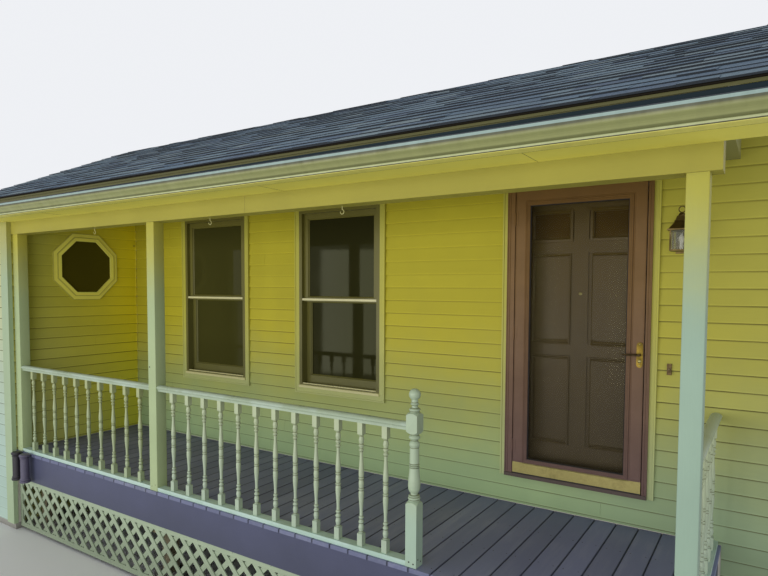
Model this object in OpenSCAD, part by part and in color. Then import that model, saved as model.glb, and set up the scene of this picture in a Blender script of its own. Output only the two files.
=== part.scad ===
// Entrance porch of a clapboard house: raised deck, posts, turned balustrade, beam and eave,
// with the wall behind it, its two windows, its octagon window and its two doors.
// X runs along the wall, the front faces -Y, Z is up, lengths are millimetres.
// The origin is on the ground, in the middle of the house wall's thickness and of the porch's width.

/* [Porch] */
// Width of the deck, from the return wall's sheathing to the open end
porch_w = 5761; // [5100:1:6600]
// Depth of the porch, from the wall's sheathing to the front of the posts
porch_d = 1275; // [1150:1:1500]
// Height of the deck's top above the ground
deck_h = 760; // [700:1:900]
// Thickness of the house walls, without the clapboards
wall_t = 150; // [120:1:180]
// How far the wall runs on past the open end
run_on = 300; // [220:1:420]
// Thickness of the clapboards on the walls
siding_t = 14; // [12:1:16]
// Length of the wing's front wall beside the porch
wing_run = 400; // [300:1:500]
// How far the wing's front wall stands in front of the posts
wing_step = 29; // [20:1:40]
// Bottom of the clapboards above the ground
siding_foot = 60; // [40:1:90]

/* [Deck] */
// Thickness of the deck boards
board_t = 25; // [22:1:32]
// Overhang of the deck boards past the fascia
nosing = 12; // [6:1:20]
// Height of the fascia under the deck boards
fascia_h = 240; // [220:1:260]
// Thickness of the fascia and of the joists
joist_t = 38; // [35:1:45]
// Height of the joists
joist_h = 184; // [140:1:200]
// Height of the bearers under the joists
bearer_h = 140; // [120:1:150]
// Height of the concrete piers above the ground
pier_h = 60; // [40:1:90]
// Diameter of the concrete piers
pier_d = 250; // [200:1:280]

/* [Lattice] */
// Width of a lattice lath
lath_w = 38; // [30:1:42]
// Thickness of a lattice lath
lath_t = 8; // [6:1:10]
// Distance between laths, measured along the panel
lath_pitch = 150; // [130:1:180]
// Clearance of the lattice above the ground
lattice_foot = 30; // [20:1:50]
// Width of the strips that frame the lattice
strip_w = 40; // [32:1:50]

/* [Steps] */
// Number of treads below the deck
tread_count = 3; // [2:1:4]
// Depth of a step
tread_run = 280; // [250:1:300]
// Thickness of a tread
tread_t = 38; // [30:1:42]
// Overhang of a tread past its riser
tread_nose = 25; // [15:1:30]
// Thickness of a riser board
riser_t = 19; // [16:1:25]

/* [Posts and rails] */
// Side of a square porch post
post_w = 89; // [80:1:110]
// Distance from the return wall to the middle post
middle_x = 2024; // [1800:1:2200]
// Distance from the return wall to the turned newel
newel_x = 4306; // [4050:1:4306]
// Side of the turned newel's square base
newel_w = 70; // [66:1:76]
// Top of the handrail above the deck
rail_top = 805; // [780:1:840]
// Width of the handrail
rail_w = 64; // [60:1:66]
// Thickness of the handrail's cap
rail_t = 34; // [30:1:38]
// Thickness of the fillet under the handrail
fillet_t = 12; // [8:1:16]
// Width of the bottom rail
shoe_w = 62; // [58:1:64]
// Thickness of the bottom rail
shoe_t = 28; // [24:1:34]
// Side of a baluster's square blocks
baluster_w = 35; // [32:1:36]
// Balusters in the left bay
left_count = 10; // [8:1:11]
// Balusters in the front bay
front_count = 12; // [9:1:13]
// Balusters in the side bay
side_count = 6; // [4:1:7]

/* [Beam and eave] */
// How far the front beam hangs below the ceiling
beam_drop = 278; // [220:1:290]
// Width of the front beam
beam_w = 113; // [112:1:130]
// How far the soffit's underside is below the ceiling
soffit_drop = 165; // [145:1:175]
// Thickness of the soffit boards
soffit_t = 12; // [10:1:16]
// Gap between the door's casing and the ceiling
head_gap = 2; // [1:1:12]
// Thickness of the ceiling boards
ceiling_t = 12; // [10:1:16]
// How far the shingles' lower edge is below the ceiling
eave_drop = 18; // [10:1:40]
// Depth of the eave, from the posts' front to the shingles' lower edge
eave_d = 360; // [330:1:400]
// Rise of the roof for a run of 12
roof_rise = 5.5; // [5.2:0.1:6]
// Height of the rafters, measured upright
rafter_h = 150; // [140:1:155]
// Width of a rafter
rafter_w = 38; // [35:1:45]
// Number of rafters
rafter_count = 11; // [9:1:13]
// Thickness of the roof boards, measured upright
sheathing_t = 14; // [12:1:20]
// Thickness of the shingle layer, measured upright
shingle_t = 12; // [10:1:16]
// Height of the fascia board behind the gutter
eave_board_h = 138; // [110:1:145]
// Thickness of the fascia board behind the gutter
eave_board_t = 19; // [16:1:22]
// Depth of the gutter from its back to its lip
gutter_d = 110; // [95:1:120]
// Height of the gutter
gutter_h = 88; // [80:1:95]
// Wall of the gutter
gutter_t = 3; // [2:0.5:4]

/* [Windows] */
// Distance from the return wall to the first window's frame
window_1_x = 868; // [700:1:900]
// Distance from the return wall to the second window's frame
window_2_x = 2418; // [2250:1:2600]
// Width of a window frame
window_w = 864; // [800:1:900]
// How far the window frames' top is below the ceiling
window_drop = 75; // [70:1:110]
// Height of a window frame
window_h = 1570; // [1500:1:1600]
// Face width of a window frame
frame_w = 32; // [28:1:40]
// Width of the stiles and top rail of a sash
sash_w = 45; // [40:1:55]
// Height of a sash's bottom rail
sash_foot = 72; // [60:1:80]
// Height of the meeting rails
meeting_h = 38; // [34:1:44]
// Thickness of a sash
sash_t = 35; // [30:1:38]
// Width of the flat casings round windows and door
casing_w = 50; // [44:1:56]
// Width of the casing round the door
door_casing_w = 40; // [34:1:50]
// How far the casings stand out of the sheathing
casing_t = 22; // [18:1:28]
// Thickness of the window panes
glass_t = 6; // [4:1:8]
// Width across the flats of the octagon's casing
octagon_w = 670; // [640:1:720]
// Width across the flats of the octagon's glass
octagon_glass_w = 515; // [480:1:540]
// Distance from the wall to the octagon's centre
octagon_y = 577; // [540:1:640]
// How far the octagon's centre is below the ceiling
octagon_drop = 555; // [500:1:600]

/* [Doors] */
// Distance from the return wall to the doorway
door_x = 4384; // [4370:1:4400]
// Width of the doorway in the wall
door_w = 956; // [930:1:970]
// Top of the door sill above the deck
sill_top = 229; // [215:1:240]
// Height of the doorway above its sill
door_h = 2029; // [1990:1:2040]
// Face width of the storm door's frame beside the hinge
hinge_frame_w = 54; // [45:1:60]
// Face width of the storm door's frame beside the lever and overhead
storm_frame_w = 31; // [26:1:38]
// Thickness of the storm door's leaf
storm_t = 35; // [30:1:40]
// Width of the storm door's stiles and top rail
stile_w = 105; // [90:1:115]
// Height of the storm door's bottom rail
storm_foot = 105; // [95:1:120]
// Height of the brass strip at the foot of the storm door
kick_h = 76; // [60:1:85]
// Gap round each door leaf
leaf_gap = 6; // [5:1:9]
// Radius of the hinge knuckles
knuckle_r = 6; // [5:0.5:7]
// Radius of the hinge pins
hinge_pin_r = 3; // [2:0.5:3.5]
// Height of a hinge
hinge_h = 90; // [75:1:100]
// Thickness of the entry door's leaf
entry_t = 44; // [40:1:46]
// Height of the lever above the sill
lever_z = 898; // [860:1:930]
// Length of the lever
lever_len = 101; // [90:1:110]
// Width of the entry door's stiles
entry_stile_w = 112; // [100:1:120]
// Height of the entry door's bottom rail
entry_foot = 215; // [190:1:240]
// Height of the rails between the entry door's panels
entry_rail_h = 90; // [80:1:120]
// Height of the entry door's two lites
lite_h = 190; // [170:1:210]
// Height of the knob above the sill
knob_z = 886; // [850:1:920]
// Distance from the entry door's edge to the knob
knob_in = 62; // [58:1:70]

/* [Lantern and bell] */
// Distance from the doorway to the middle of the lantern
lantern_gap = 168; // [150:1:180]
// Bottom of the lantern above the deck
lantern_z = 1771; // [1740:1:1800]
// Height of the lantern up to its ring's top
lantern_h = 268; // [250:1:290]
// Width of the lantern's roof
lantern_w = 142; // [138:1:160]
// Distance from the doorway to the middle of the bell push
bell_gap = 110; // [100:1:115]
// Middle of the bell push above the deck
bell_z = 1046; // [1000:1:1100]

/* [Hidden] */
// Main planes, counted from the origin
ceiling_foot = sill_top + door_h + door_casing_w + head_gap;
beam_foot = ceiling_foot - beam_drop;
soffit_foot = ceiling_foot - soffit_drop;
window_foot = ceiling_foot - window_drop - window_h;
octagon_z = ceiling_foot - octagon_drop;
lantern_x = door_x + door_w + lantern_gap;
bell_x = door_x + door_w + bell_gap;
left_x = -porch_w / 2;
right_x = porch_w / 2;
face_y = -wall_t / 2;
back_y = wall_t / 2;
front_y = face_y - porch_d;
wing_y = front_y - wing_step;
wall_end_x = right_x + run_on;
wing_end_x = left_x - wing_run;
rim_x = right_x - nosing;
joist_top = deck_h - board_t;
fascia_foot = joist_top - fascia_h;
bearer_top = joist_top - joist_h;
bearer_foot = bearer_top - bearer_h;

// Roof: the shingles' top runs from the eave up to the back of the wall
slope = roof_rise / 12;
eave_y = front_y - eave_d;
sheathing_drop = shingle_t;
rafter_drop = shingle_t + sheathing_t;
ceiling_z = deck_h + ceiling_foot;
beam_y = front_y - (beam_w - post_w) / 2;
beam_back_y = beam_y + beam_w;
beam_h = ceiling_foot + ceiling_t - beam_foot;
beam_overhang = 46;
beam_end_x = rim_x + beam_overhang;
eave_board_y = eave_y + 22;
eave_board_foot = deck_h + soffit_foot - 22;
gutter_y = eave_board_y - gutter_d;
gutter_foot = eave_board_foot - 3;
function roof_z(y) = deck_h + ceiling_foot - eave_drop + (y - eave_y) * slope;

// The wall's top is level with the rafters' underside, the beam's with the ceiling's top
clear = 0.3;
function under_roof(y) = roof_z(y) - rafter_drop - clear;
function plate_z(y) = under_roof(y) - rafter_h;
wall_top_z = plate_z(face_y);
beam_top = deck_h + beam_foot + beam_h;

// Openings in the walls
win_x = [left_x + window_1_x, left_x + window_2_x];
win_z = deck_h + window_foot;
doorway_x = left_x + door_x;
sill_z = deck_h + sill_top;
door_top = sill_z + door_h;
octagon_c = face_y - octagon_y;
octagon_hole = octagon_glass_w + 60;

// Railing bays, as the faces that they run between
rail_c = front_y + newel_w / 2;
side_rail_c = rim_x - newel_w / 2;
left_bay = [left_x + siding_t + post_w, left_x + middle_x];
front_bay = [left_x + middle_x + post_w, left_x + newel_x];
side_bay = [front_y + post_w, face_y - siding_t];
baluster_foot = deck_h + shoe_t;
baluster_h = rail_top - rail_t - fillet_t - shoe_t;
newel_c = left_x + newel_x + newel_w / 2;

// Steps between the newel and the end post
rise = deck_h / (tread_count + 1);
step_x = left_x + newel_x + newel_w;
step_end_x = rim_x - post_w;
step_w = step_end_x - step_x;

// Storm door leaf and its hinge line
storm_x = doorway_x + hinge_frame_w;
storm_end_x = doorway_x + door_w - storm_frame_w;
storm_y = face_y - casing_t - 13;
leaf_x = storm_x + leaf_gap;
leaf_w = storm_end_x - storm_x - 2 * leaf_gap;
leaf_z = sill_z + leaf_gap;
leaf_h = door_h - storm_frame_w - 2 * leaf_gap;
lever_x = leaf_x + leaf_w - 23;
lever_axis_z = sill_z + lever_z;

// Entry door leaf, inside the frame at the back of the wall
jamb_t = 20;
entry_x = doorway_x + jamb_t + leaf_gap;
entry_w = door_w - 2 * jamb_t - 2 * leaf_gap;
entry_y = back_y - entry_t;
entry_z = sill_z + leaf_gap;
entry_h = door_h - jamb_t - 2 * leaf_gap;

// A block between two opposite corners
module block(lo, hi) translate(lo) cube([hi[0] - lo[0], hi[1] - lo[1], hi[2] - lo[2]]);

// A side view, drawn as [y, z] points, extruded along X from x0 to x1
module along_x(x0, x1) translate([x0, 0, 0]) rotate([90, 0, 90]) linear_extrude(x1 - x0) children();

// A front view, drawn as [x, z] points, extruded along Y from y0 to y1
module along_y(y0, y1) translate([0, y1, 0]) rotate([90, 0, 0]) linear_extrude(y1 - y0) children();

module house_foundation() color("gray") union() {
    block([left_x - wall_t, face_y, 0], [wall_end_x, back_y, siding_foot]);
    block([left_x - wall_t, wing_y, 0], [left_x, face_y, siding_foot]);
    block([wing_end_x, wing_y, 0], [left_x - wall_t, wing_y + wall_t, siding_foot]);
}

module window_wall() color("khaki") difference() {
    block([left_x, face_y, siding_foot], [doorway_x, back_y, wall_top_z]);
    for (x = win_x)
        block([x, face_y - 1, win_z], [x + window_w, back_y + 1, win_z + window_h]);
}

module wall_over_door() color("khaki")
    block([doorway_x, face_y, door_top], [doorway_x + door_w, back_y, wall_top_z]);

module wall_under_door() color("khaki")
    block([doorway_x, face_y, siding_foot], [doorway_x + door_w, back_y, sill_z - board_t]);

module end_wall() color("khaki")
    block([doorway_x + door_w, face_y, siding_foot], [wall_end_x, back_y, wall_top_z]);

module octagon(across) circle(d = across / cos(22.5), $fn = 8);

module return_wall() color("khaki") difference() {
    along_x(left_x - wall_t, left_x) polygon([
        [wing_y + wall_t, siding_foot], [back_y, siding_foot], [back_y, under_roof(back_y)],
        [wing_y + wall_t, under_roof(wing_y + wall_t)]
    ]);
    translate([left_x - wall_t / 2, octagon_c, deck_h + octagon_z]) rotate([90, 0, 90])
        linear_extrude(wall_t + 2, center = true) rotate(22.5) octagon(octagon_hole);
}

module wing_wall() color("khaki")
    block([wing_end_x, wing_y, siding_foot], [left_x, wing_y + wall_t, beam_top]);

// Corner board on the wing's front, with a narrow leg round the corner
corner_w = 111;
module corner_board() color("beige") union() {
    block([left_x - corner_w, wing_y - casing_t, siding_foot],
          [left_x + siding_t, wing_y, deck_h + soffit_foot - clear]);
    block([left_x, wing_y, siding_foot],
          [left_x + siding_t, front_y - nosing - clear, deck_h + soffit_foot - clear]);
}

// A flat frame on the wall's front face, round an opening of w by h
module flat_casing(x, z, w, h, width, y0, y1, foot = true) difference() {
    block([x - width, y0, foot ? z - width : z], [x + w + width, y1, z + h + width]);
    block([x, y0 - 1, foot ? z : z - 1], [x + w, y1 + 1, z + h]);
}

module window_casings() color("beige")
    for (x = win_x)
        flat_casing(x, win_z, window_w, window_h, casing_w, face_y - casing_t, face_y);

// Window frame: box jambs in the wall's hole, with a sill that slopes out
module window_frames() color("darkkhaki")
    for (x = win_x) difference() {
        block([x, face_y - casing_t, win_z], [x + window_w, back_y, win_z + window_h]);
        block([x + frame_w, face_y - casing_t - 1, win_z + frame_w],
              [x + window_w - frame_w, back_y + 1, win_z + window_h - frame_w]);
    }

sash_in = 8;
upper_y = face_y + sash_in;
lower_y = upper_y + sash_t + 1;
daylight_w = window_w - 2 * frame_w - 2 * clear;
daylight_h = window_h - 2 * frame_w;
sash_h = (daylight_h + meeting_h) / 2 - clear;

// One sash, hung at its lower left corner
module sash(foot_h, head_h) difference() {
    cube([daylight_w, sash_t, sash_h]);
    translate([sash_w, -1, foot_h])
        cube([daylight_w - 2 * sash_w, sash_t + 2, sash_h - foot_h - head_h]);
}

module window_sashes() color("olive")
    for (x = win_x) {
        translate([x + frame_w + clear, lower_y, win_z + frame_w + clear]) sash(sash_foot, meeting_h);
        translate([x + frame_w + clear, upper_y, win_z + window_h - frame_w - clear - sash_h])
            sash(meeting_h, sash_w);
    }

module pane(foot_h, head_h) translate([sash_w, (sash_t - glass_t) / 2, foot_h])
    cube([daylight_w - 2 * sash_w, glass_t, sash_h - foot_h - head_h]);

octagon_glass_in = 8;
module window_glass() color("darkslategray") union() {
    for (x = win_x) {
        translate([x + frame_w + clear, lower_y, win_z + frame_w + clear]) pane(sash_foot, meeting_h);
        translate([x + frame_w + clear, upper_y, win_z + window_h - frame_w - clear - sash_h])
            pane(meeting_h, sash_w);
    }
    translate([left_x + octagon_glass_in, octagon_c, deck_h + octagon_z]) rotate([90, 0, 90])
        linear_extrude(glass_t) rotate(22.5) octagon(octagon_glass_w);
}

// Octagon window: a flat casing, a raised inner ring and a liner through the wall
module octagon_ring(x0, x1, outer, inner) translate([0, octagon_c, deck_h + octagon_z])
    along_x(x0, x1) rotate(22.5) difference() {
        octagon(outer);
        octagon(inner);
    }

module octagon_casing() color("beige") union() {
    octagon_ring(left_x, left_x + casing_t, octagon_w, octagon_glass_w);
    octagon_ring(left_x + casing_t, left_x + casing_t + 12, octagon_w - 80, octagon_glass_w);
    octagon_ring(left_x - wall_t, left_x, octagon_hole - 2 * clear, octagon_glass_w);
}

module door_casing() color("beige")
    flat_casing(doorway_x, sill_z - board_t, door_w, door_h + board_t, door_casing_w,
                face_y - casing_t, face_y, false);

// Door frame: jambs through the wall, and the storm door's frame in front of the casing
module door_frame() color("rosybrown") union() {
    difference() {
        block([doorway_x, face_y, sill_z], [doorway_x + door_w, back_y, door_top]);
        block([doorway_x + jamb_t, face_y - 1, sill_z - 1],
              [doorway_x + door_w - jamb_t, back_y + 1, door_top - jamb_t]);
    }
    difference() {
        block([doorway_x, storm_y, sill_z], [doorway_x + door_w, face_y, door_top]);
        block([storm_x, storm_y - 1, sill_z - 1], [storm_end_x, face_y + 1, door_top - storm_frame_w]);
    }
    for (z = hinge_z(leaf_z, leaf_h)) translate([storm_axis[0], storm_axis[1], z]) hinge_fixed(-1);
    for (z = hinge_z(entry_z, entry_h)) translate([entry_axis[0], entry_axis[1], z]) hinge_fixed(1);
}

module door_sill() color("dimgray")
    block([doorway_x, storm_y - 10, sill_z - board_t], [doorway_x + door_w, back_y, sill_z]);

// Butt hinge on a door's left edge: s is the side of the face, -1 outside and 1 inside
hinge_plate_w = jamb_t + leaf_gap / 2 - 1;
hinge_plate_t = 3;
pin_gap = 0.3;
third = hinge_h / 3;
module knuckle(z0, z1, r) translate([0, 0, z0]) cylinder(r = r, h = z1 - z0, $fn = 32);

module hinge_plate(a, b, s, z0, z1)
    translate([a, s > 0 ? -knuckle_r - 1 : knuckle_r + 1 - hinge_plate_t, z0])
        cube([b - a, hinge_plate_t, z1 - z0]);

module hinge_fixed(s) union() {
    knuckle(0, hinge_h, hinge_pin_r);
    for (z = [0, 2 * third]) {
        knuckle(z, z + third, knuckle_r);
        hinge_plate(-knuckle_r - 1, 0, s, z, z + third);
    }
    hinge_plate(-hinge_plate_w, -knuckle_r - 1, s, 0, hinge_h);
}

module hinge_moving(s) difference() {
    union() {
        knuckle(third + pin_gap, 2 * third - pin_gap, knuckle_r);
        hinge_plate(0, knuckle_r + 1, s, third + pin_gap, 2 * third - pin_gap);
        hinge_plate(knuckle_r + 1, hinge_plate_w, s, 0, hinge_h);
    }
    knuckle(third, 2 * third, hinge_pin_r + pin_gap);
}

storm_axis = [leaf_x - leaf_gap / 2, storm_y - knuckle_r - 1];
entry_axis = [entry_x - leaf_gap / 2, back_y + knuckle_r + 1];
function hinge_z(z, h) = [z + 150, z + (h - hinge_h) / 2, z + h - 150 - hinge_h];

// Storm door: a moulded frame round one tall pane, with the knuckles of its hinge
module storm_door() color("rosybrown") union() {
    difference() {
        block([leaf_x, storm_y, leaf_z], [leaf_x + leaf_w, storm_y + storm_t, leaf_z + leaf_h]);
        block([leaf_x + stile_w, storm_y - 1, leaf_z + storm_foot],
              [leaf_x + leaf_w - stile_w, storm_y + storm_t + 1, leaf_z + leaf_h - stile_w]);
    }
    storm_moulding();
    for (z = hinge_z(leaf_z, leaf_h)) translate([storm_axis[0], storm_axis[1], z]) hinge_moving(-1);
}

moulding_w = 26;
moulding_t = 6;
module storm_moulding() difference() {
    block([leaf_x + stile_w - moulding_w, storm_y - moulding_t, leaf_z + storm_foot - moulding_w],
          [leaf_x + leaf_w - stile_w + moulding_w, storm_y, leaf_z + leaf_h - stile_w + moulding_w]);
    block([leaf_x + stile_w, storm_y - moulding_t - 1, leaf_z + storm_foot],
          [leaf_x + leaf_w - stile_w, storm_y + 1, leaf_z + leaf_h - stile_w]);
}

module storm_glass() color("darkslategray")
    block([leaf_x + stile_w, storm_y + storm_t / 2 - glass_t / 2, leaf_z + storm_foot],
          [leaf_x + leaf_w - stile_w, storm_y + storm_t / 2 + glass_t / 2, leaf_z + leaf_h - stile_w]);

module kick_strip() color("goldenrod")
    block([leaf_x, storm_y - 3, leaf_z], [leaf_x + leaf_w, storm_y, leaf_z + kick_h]);

plate_h = 160;
plate_w = 38;
plate_t = 9;
spindle_r = 8;
spindle_gap = 0.4;
module lever_plate() color("goldenrod") difference() {
    along_y(storm_y - plate_t, storm_y) hull() {
        translate([lever_x, lever_axis_z + (plate_h - plate_w) / 2]) circle(d = plate_w, $fn = 32);
        translate([lever_x, lever_axis_z - (plate_h - plate_w) / 2]) circle(d = plate_w, $fn = 32);
    }
    along_y(storm_y - plate_t - 1, storm_y + 1)
        translate([lever_x, lever_axis_z]) circle(r = spindle_r + spindle_gap, $fn = 48);
}

lever_d = 13;
module storm_lever() color("saddlebrown") union() {
    along_y(storm_y - plate_t - 34, storm_y - clear)
        translate([lever_x, lever_axis_z]) circle(r = spindle_r, $fn = 48);
    translate([lever_x, storm_y - plate_t - 28, lever_axis_z]) rotate([0, -90, 0])
        cylinder(d = lever_d, h = lever_len, $fn = 24);
}

// Entry door: six raised panels, the upper two glazed
panel_in = 8;
muntin_w = 102;
head_rail_h = 157;
panel_w = (entry_w - 2 * entry_stile_w - muntin_w) / 2;
panel_x = [entry_stile_w, entry_stile_w + panel_w + muntin_w];
panel_h = (entry_h - entry_foot - 2 * entry_rail_h - lite_h - head_rail_h) / 2;
panel_rows = [[entry_foot, panel_h], [entry_foot + panel_h + entry_rail_h, panel_h],
              [entry_h - head_rail_h - lite_h, lite_h]];
module entry_door() color("saddlebrown") union() {
    entry_leaf();
    for (z = hinge_z(entry_z, entry_h)) translate([entry_axis[0], entry_axis[1], z]) hinge_moving(1);
}

module entry_leaf() difference() {
    block([entry_x, entry_y, entry_z], [entry_x + entry_w, entry_y + entry_t, entry_z + entry_h]);
    for (x = panel_x, row = [0 : 1])
        panel_groove(entry_x + x, entry_z + panel_rows[row][0], panel_rows[row][1]);
    for (x = panel_x)
        block([entry_x + x, entry_y - 1, entry_z + panel_rows[2][0]],
              [entry_x + x + panel_w, back_y + 1, entry_z + panel_rows[2][0] + panel_rows[2][1]]);
}

groove_w = 28;
module panel_groove(x, z, h) difference() {
    block([x, entry_y - 1, z], [x + panel_w, entry_y + panel_in, z + h]);
    block([x + groove_w, entry_y - 2, z + groove_w],
          [x + panel_w - groove_w, entry_y + panel_in + 1, z + h - groove_w]);
}

module entry_glass() color("darkslategray")
    for (x = panel_x)
        block([entry_x + x, entry_y + entry_t / 2 - glass_t / 2, entry_z + panel_rows[2][0]],
              [entry_x + x + panel_w, entry_y + entry_t / 2 + glass_t / 2,
               entry_z + panel_rows[2][0] + panel_rows[2][1]]);

knob_r = 26;
module entry_knob() color("darkgoldenrod")
    translate([entry_x + entry_w - knob_in, entry_y, sill_z + knob_z]) rotate([90, 0, 0])
        rotate_extrude($fn = 48) polygon([
            [0, 0], [30, 0], [30, 5], [11, 9], [11, 26], [knob_r, 34], [knob_r, 46], [15, 54], [0, 54]
        ]);

// Coach lantern: back plate, arm, cage with corner bars, and a curved roof in two tiers with a ring
lantern_c = [left_x + lantern_x, face_y - siding_t - 95];
cage_w = 116;
bar_w = 9;
floor_t = 8;
dome_r = 21;
ring_r = 18;
ring_wire = 6;
roof_h = 86;
cage_foot = deck_h + lantern_z;
cage_h = lantern_h - roof_h - dome_r - 2 * ring_r - ring_wire / 2;

// Half widths and heights of the roof's tiers, from the eave to the dome
roof_tiers = [[0, lantern_w / 2, lantern_w / 2, 7], [7, lantern_w / 2 - 6, 45, 28], [35, 45, 34, 18],
              [53, 38, 34, 6], [59, 32, dome_r + 3, roof_h - 59]];
module lantern_roof() union() {
    for (t = roof_tiers) translate([0, 0, t[0] - (t[0] > 0 ? clear : 0)]) rotate(45)
        cylinder(r1 = t[1] * sqrt(2), r2 = t[2] * sqrt(2), h = t[3] + clear, $fn = 4);
    translate([0, 0, roof_h]) sphere(r = dome_r, $fn = 32);
    translate([0, 0, roof_h + dome_r + ring_r]) rotate([90, 0, 0]) rotate_extrude($fn = 32)
        translate([ring_r, 0]) circle(d = ring_wire, $fn = 16);
}

module lantern() color("dimgray") union() {
    block([lantern_c[0] - 40, face_y - siding_t - 12, cage_foot - 10],
          [lantern_c[0] + 40, face_y, cage_foot + 190]);
    block([lantern_c[0] - 9, lantern_c[1] + cage_w / 2 - bar_w, cage_foot - 10],
          [lantern_c[0] + 9, face_y - siding_t - 12, cage_foot + floor_t]);
    translate([lantern_c[0], lantern_c[1], cage_foot]) {
        translate([-cage_w / 2, -cage_w / 2, 0]) cube([cage_w, cage_w, floor_t]);
        for (a = [0 : 90 : 270]) rotate(a) translate([cage_w / 2 - bar_w, cage_w / 2 - bar_w, floor_t])
            cube([bar_w, bar_w, cage_h - floor_t]);
        translate([0, 0, cage_h]) lantern_roof();
    }
}

module lantern_glass() color("lightgray")
    translate([lantern_c[0], lantern_c[1], cage_foot]) difference() {
        translate([-cage_w / 2 + 2, -cage_w / 2 + 2, floor_t + clear])
            cube([cage_w - 4, cage_w - 4, cage_h - floor_t - 2 * clear]);
        translate([-cage_w / 2 + 5, -cage_w / 2 + 5, floor_t - 1]) cube([cage_w - 10, cage_w - 10, cage_h]);
        for (a = [0 : 90 : 270]) rotate(a)
            translate([cage_w / 2 - bar_w - clear, cage_w / 2 - bar_w - clear, 0]) cube([20, 20, cage_h + 1]);
    }

module bell_push() color("saddlebrown")
    translate([left_x + bell_x, face_y, deck_h + bell_z]) union() {
        translate([-13, -siding_t - 10, -35]) cube([26, siding_t + 10, 70]);
        rotate([90, 0, 0]) cylinder(d = 12, h = siding_t + 14, $fn = 32);
    }

// Under the deck: piers, short posts, bearers across the porch and joists along it
bearer_t = 76;
bearer_in = 200;
bearer_c = [left_x + bearer_in, left_x + middle_x, left_x + newel_x, rim_x - bearer_in];
pier_in = 180;
pier_c = front_y + pier_in;
module piers() color("silver")
    for (x = bearer_c) translate([x, pier_c, 0]) cylinder(d = pier_d, h = pier_h, $fn = 64);

module pier_posts() color("burlywood")
    for (x = bearer_c)
        block([x - post_w / 2, pier_c - post_w / 2, pier_h],
              [x + post_w / 2, pier_c + post_w / 2, bearer_foot]);

module deck_bearers() color("burlywood")
    for (x = bearer_c)
        block([x - bearer_t / 2, front_y + joist_t, bearer_foot], [x + bearer_t / 2, face_y, bearer_top]);

joist_count = 4;
joist_gap = (porch_d - (joist_count + 1) * joist_t) / (joist_count - 1);
joist_y = [for (i = [0 : joist_count - 1]) front_y + joist_t + i * (joist_gap + joist_t)];
module deck_joists() color("burlywood")
    for (y = joist_y)
        block([left_x, y, bearer_top], [rim_x - joist_t, y + joist_t, joist_top]);

module deck_floor() color("slategray")
    block([left_x, front_y - nosing, joist_top], [right_x, face_y, deck_h]);

module deck_fascia() color("mediumpurple") union() {
    block([left_x, front_y, fascia_foot], [rim_x, front_y + joist_t, joist_top]);
    block([rim_x - joist_t, front_y, fascia_foot], [rim_x, face_y, joist_top]);
}

// Two short round blocks with a cap and a foot, at the fascia's left end
block_r = 36;
block_cap_r = 46;
block_h = 262;
block_rise = 11;
block_x = [112, 258];
module fascia_blocks() color("rebeccapurple")
    for (x = block_x)
        translate([left_x + x, front_y - nosing - clear - block_cap_r, deck_h + block_rise - block_h])
            rotate_extrude($fn = 48) polygon([
                [0, 0], [block_cap_r - 2, 0], [block_cap_r, 6], [block_cap_r, 14], [block_r + 3, 20],
                [block_cap_r - 4, 26], [block_cap_r - 4, 32], [block_r, 40], [block_r, block_h - 44],
                [block_r + 5, block_h - 38], [block_r, block_h - 32], [block_cap_r - 3, block_h - 22],
                [block_cap_r, block_h - 16], [block_cap_r, block_h - 8], [block_r, block_h], [0, block_h]
            ]);

// Lattice: laths at 45 degrees, one way in each layer, fused where they cross, in a frame of strips
lath_lap = 1;
module laths(w, h, s) intersection() {
    translate([strip_w / 2, strip_w / 2]) square([w - strip_w, h - strip_w]);
    for (i = [-ceil(h / lath_pitch) : ceil(w / lath_pitch)])
        translate([(i + 0.5) * lath_pitch, s > 0 ? 0 : h]) rotate(s * 45)
            translate([-h * 0.1, -lath_w / 2]) square([h * 1.7, lath_w]);
}

module lath_layer(w, h, s) linear_extrude(lath_t + lath_lap / 2) union() {
    difference() {
        square([w, h]);
        translate([strip_w, strip_w]) square([w - 2 * strip_w, h - 2 * strip_w]);
    }
    laths(w, h, s);
}

module lattice_panel(w, h) translate([0, 2 * lath_t, 0]) rotate([90, 0, 0]) union() {
    lath_layer(w, h, 1);
    translate([0, 0, lath_t - lath_lap / 2]) lath_layer(w, h, -1);
}

lattice_h = fascia_foot - lattice_foot;
lattice_in = 10;
module front_lattice() color("beige")
    translate([left_x + siding_t, front_y + lattice_in, lattice_foot])
        lattice_panel(step_x - left_x - siding_t, lattice_h);

module side_lattice() color("beige")
    translate([rim_x - lattice_in, front_y + lattice_in, lattice_foot]) rotate(90)
        lattice_panel(porch_d - lattice_in - siding_t, lattice_h);

// Steps: three cut stringers carry three treads, with riser boards between them
function step_y(i) = front_y - i * tread_run;
function step_z(i) = deck_h - i * rise;
stringer_depth = 250;
module stringer_outline() polygon([
    [front_y, step_z(1) - tread_t],
    for (i = [1 : tread_count]) each [
        [step_y(i) + riser_t, step_z(i) - tread_t],
        [step_y(i) + riser_t, step_z(i + 1) - (i < tread_count ? tread_t : 0)]
    ],
    [step_y(tread_count) + riser_t + stringer_depth, 0],
    [front_y, step_z(1) - tread_t - stringer_depth]
]);

module stringers() color("slategray")
    for (x = [step_x, step_x + (step_w - joist_t) / 2, step_end_x - joist_t])
        along_x(x, x + joist_t) stringer_outline();

module treads() color("slategray")
    for (i = [1 : tread_count])
        block([step_x, step_y(i) - tread_nose, step_z(i) - tread_t],
              [step_end_x, step_y(i - 1) + (i > 1 ? riser_t : 0), step_z(i)]);

module risers() color("mediumpurple")
    for (i = [1 : tread_count])
        block([step_x, step_y(i), step_z(i + 1)], [step_end_x, step_y(i) + riser_t, step_z(i) - tread_t]);

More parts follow.
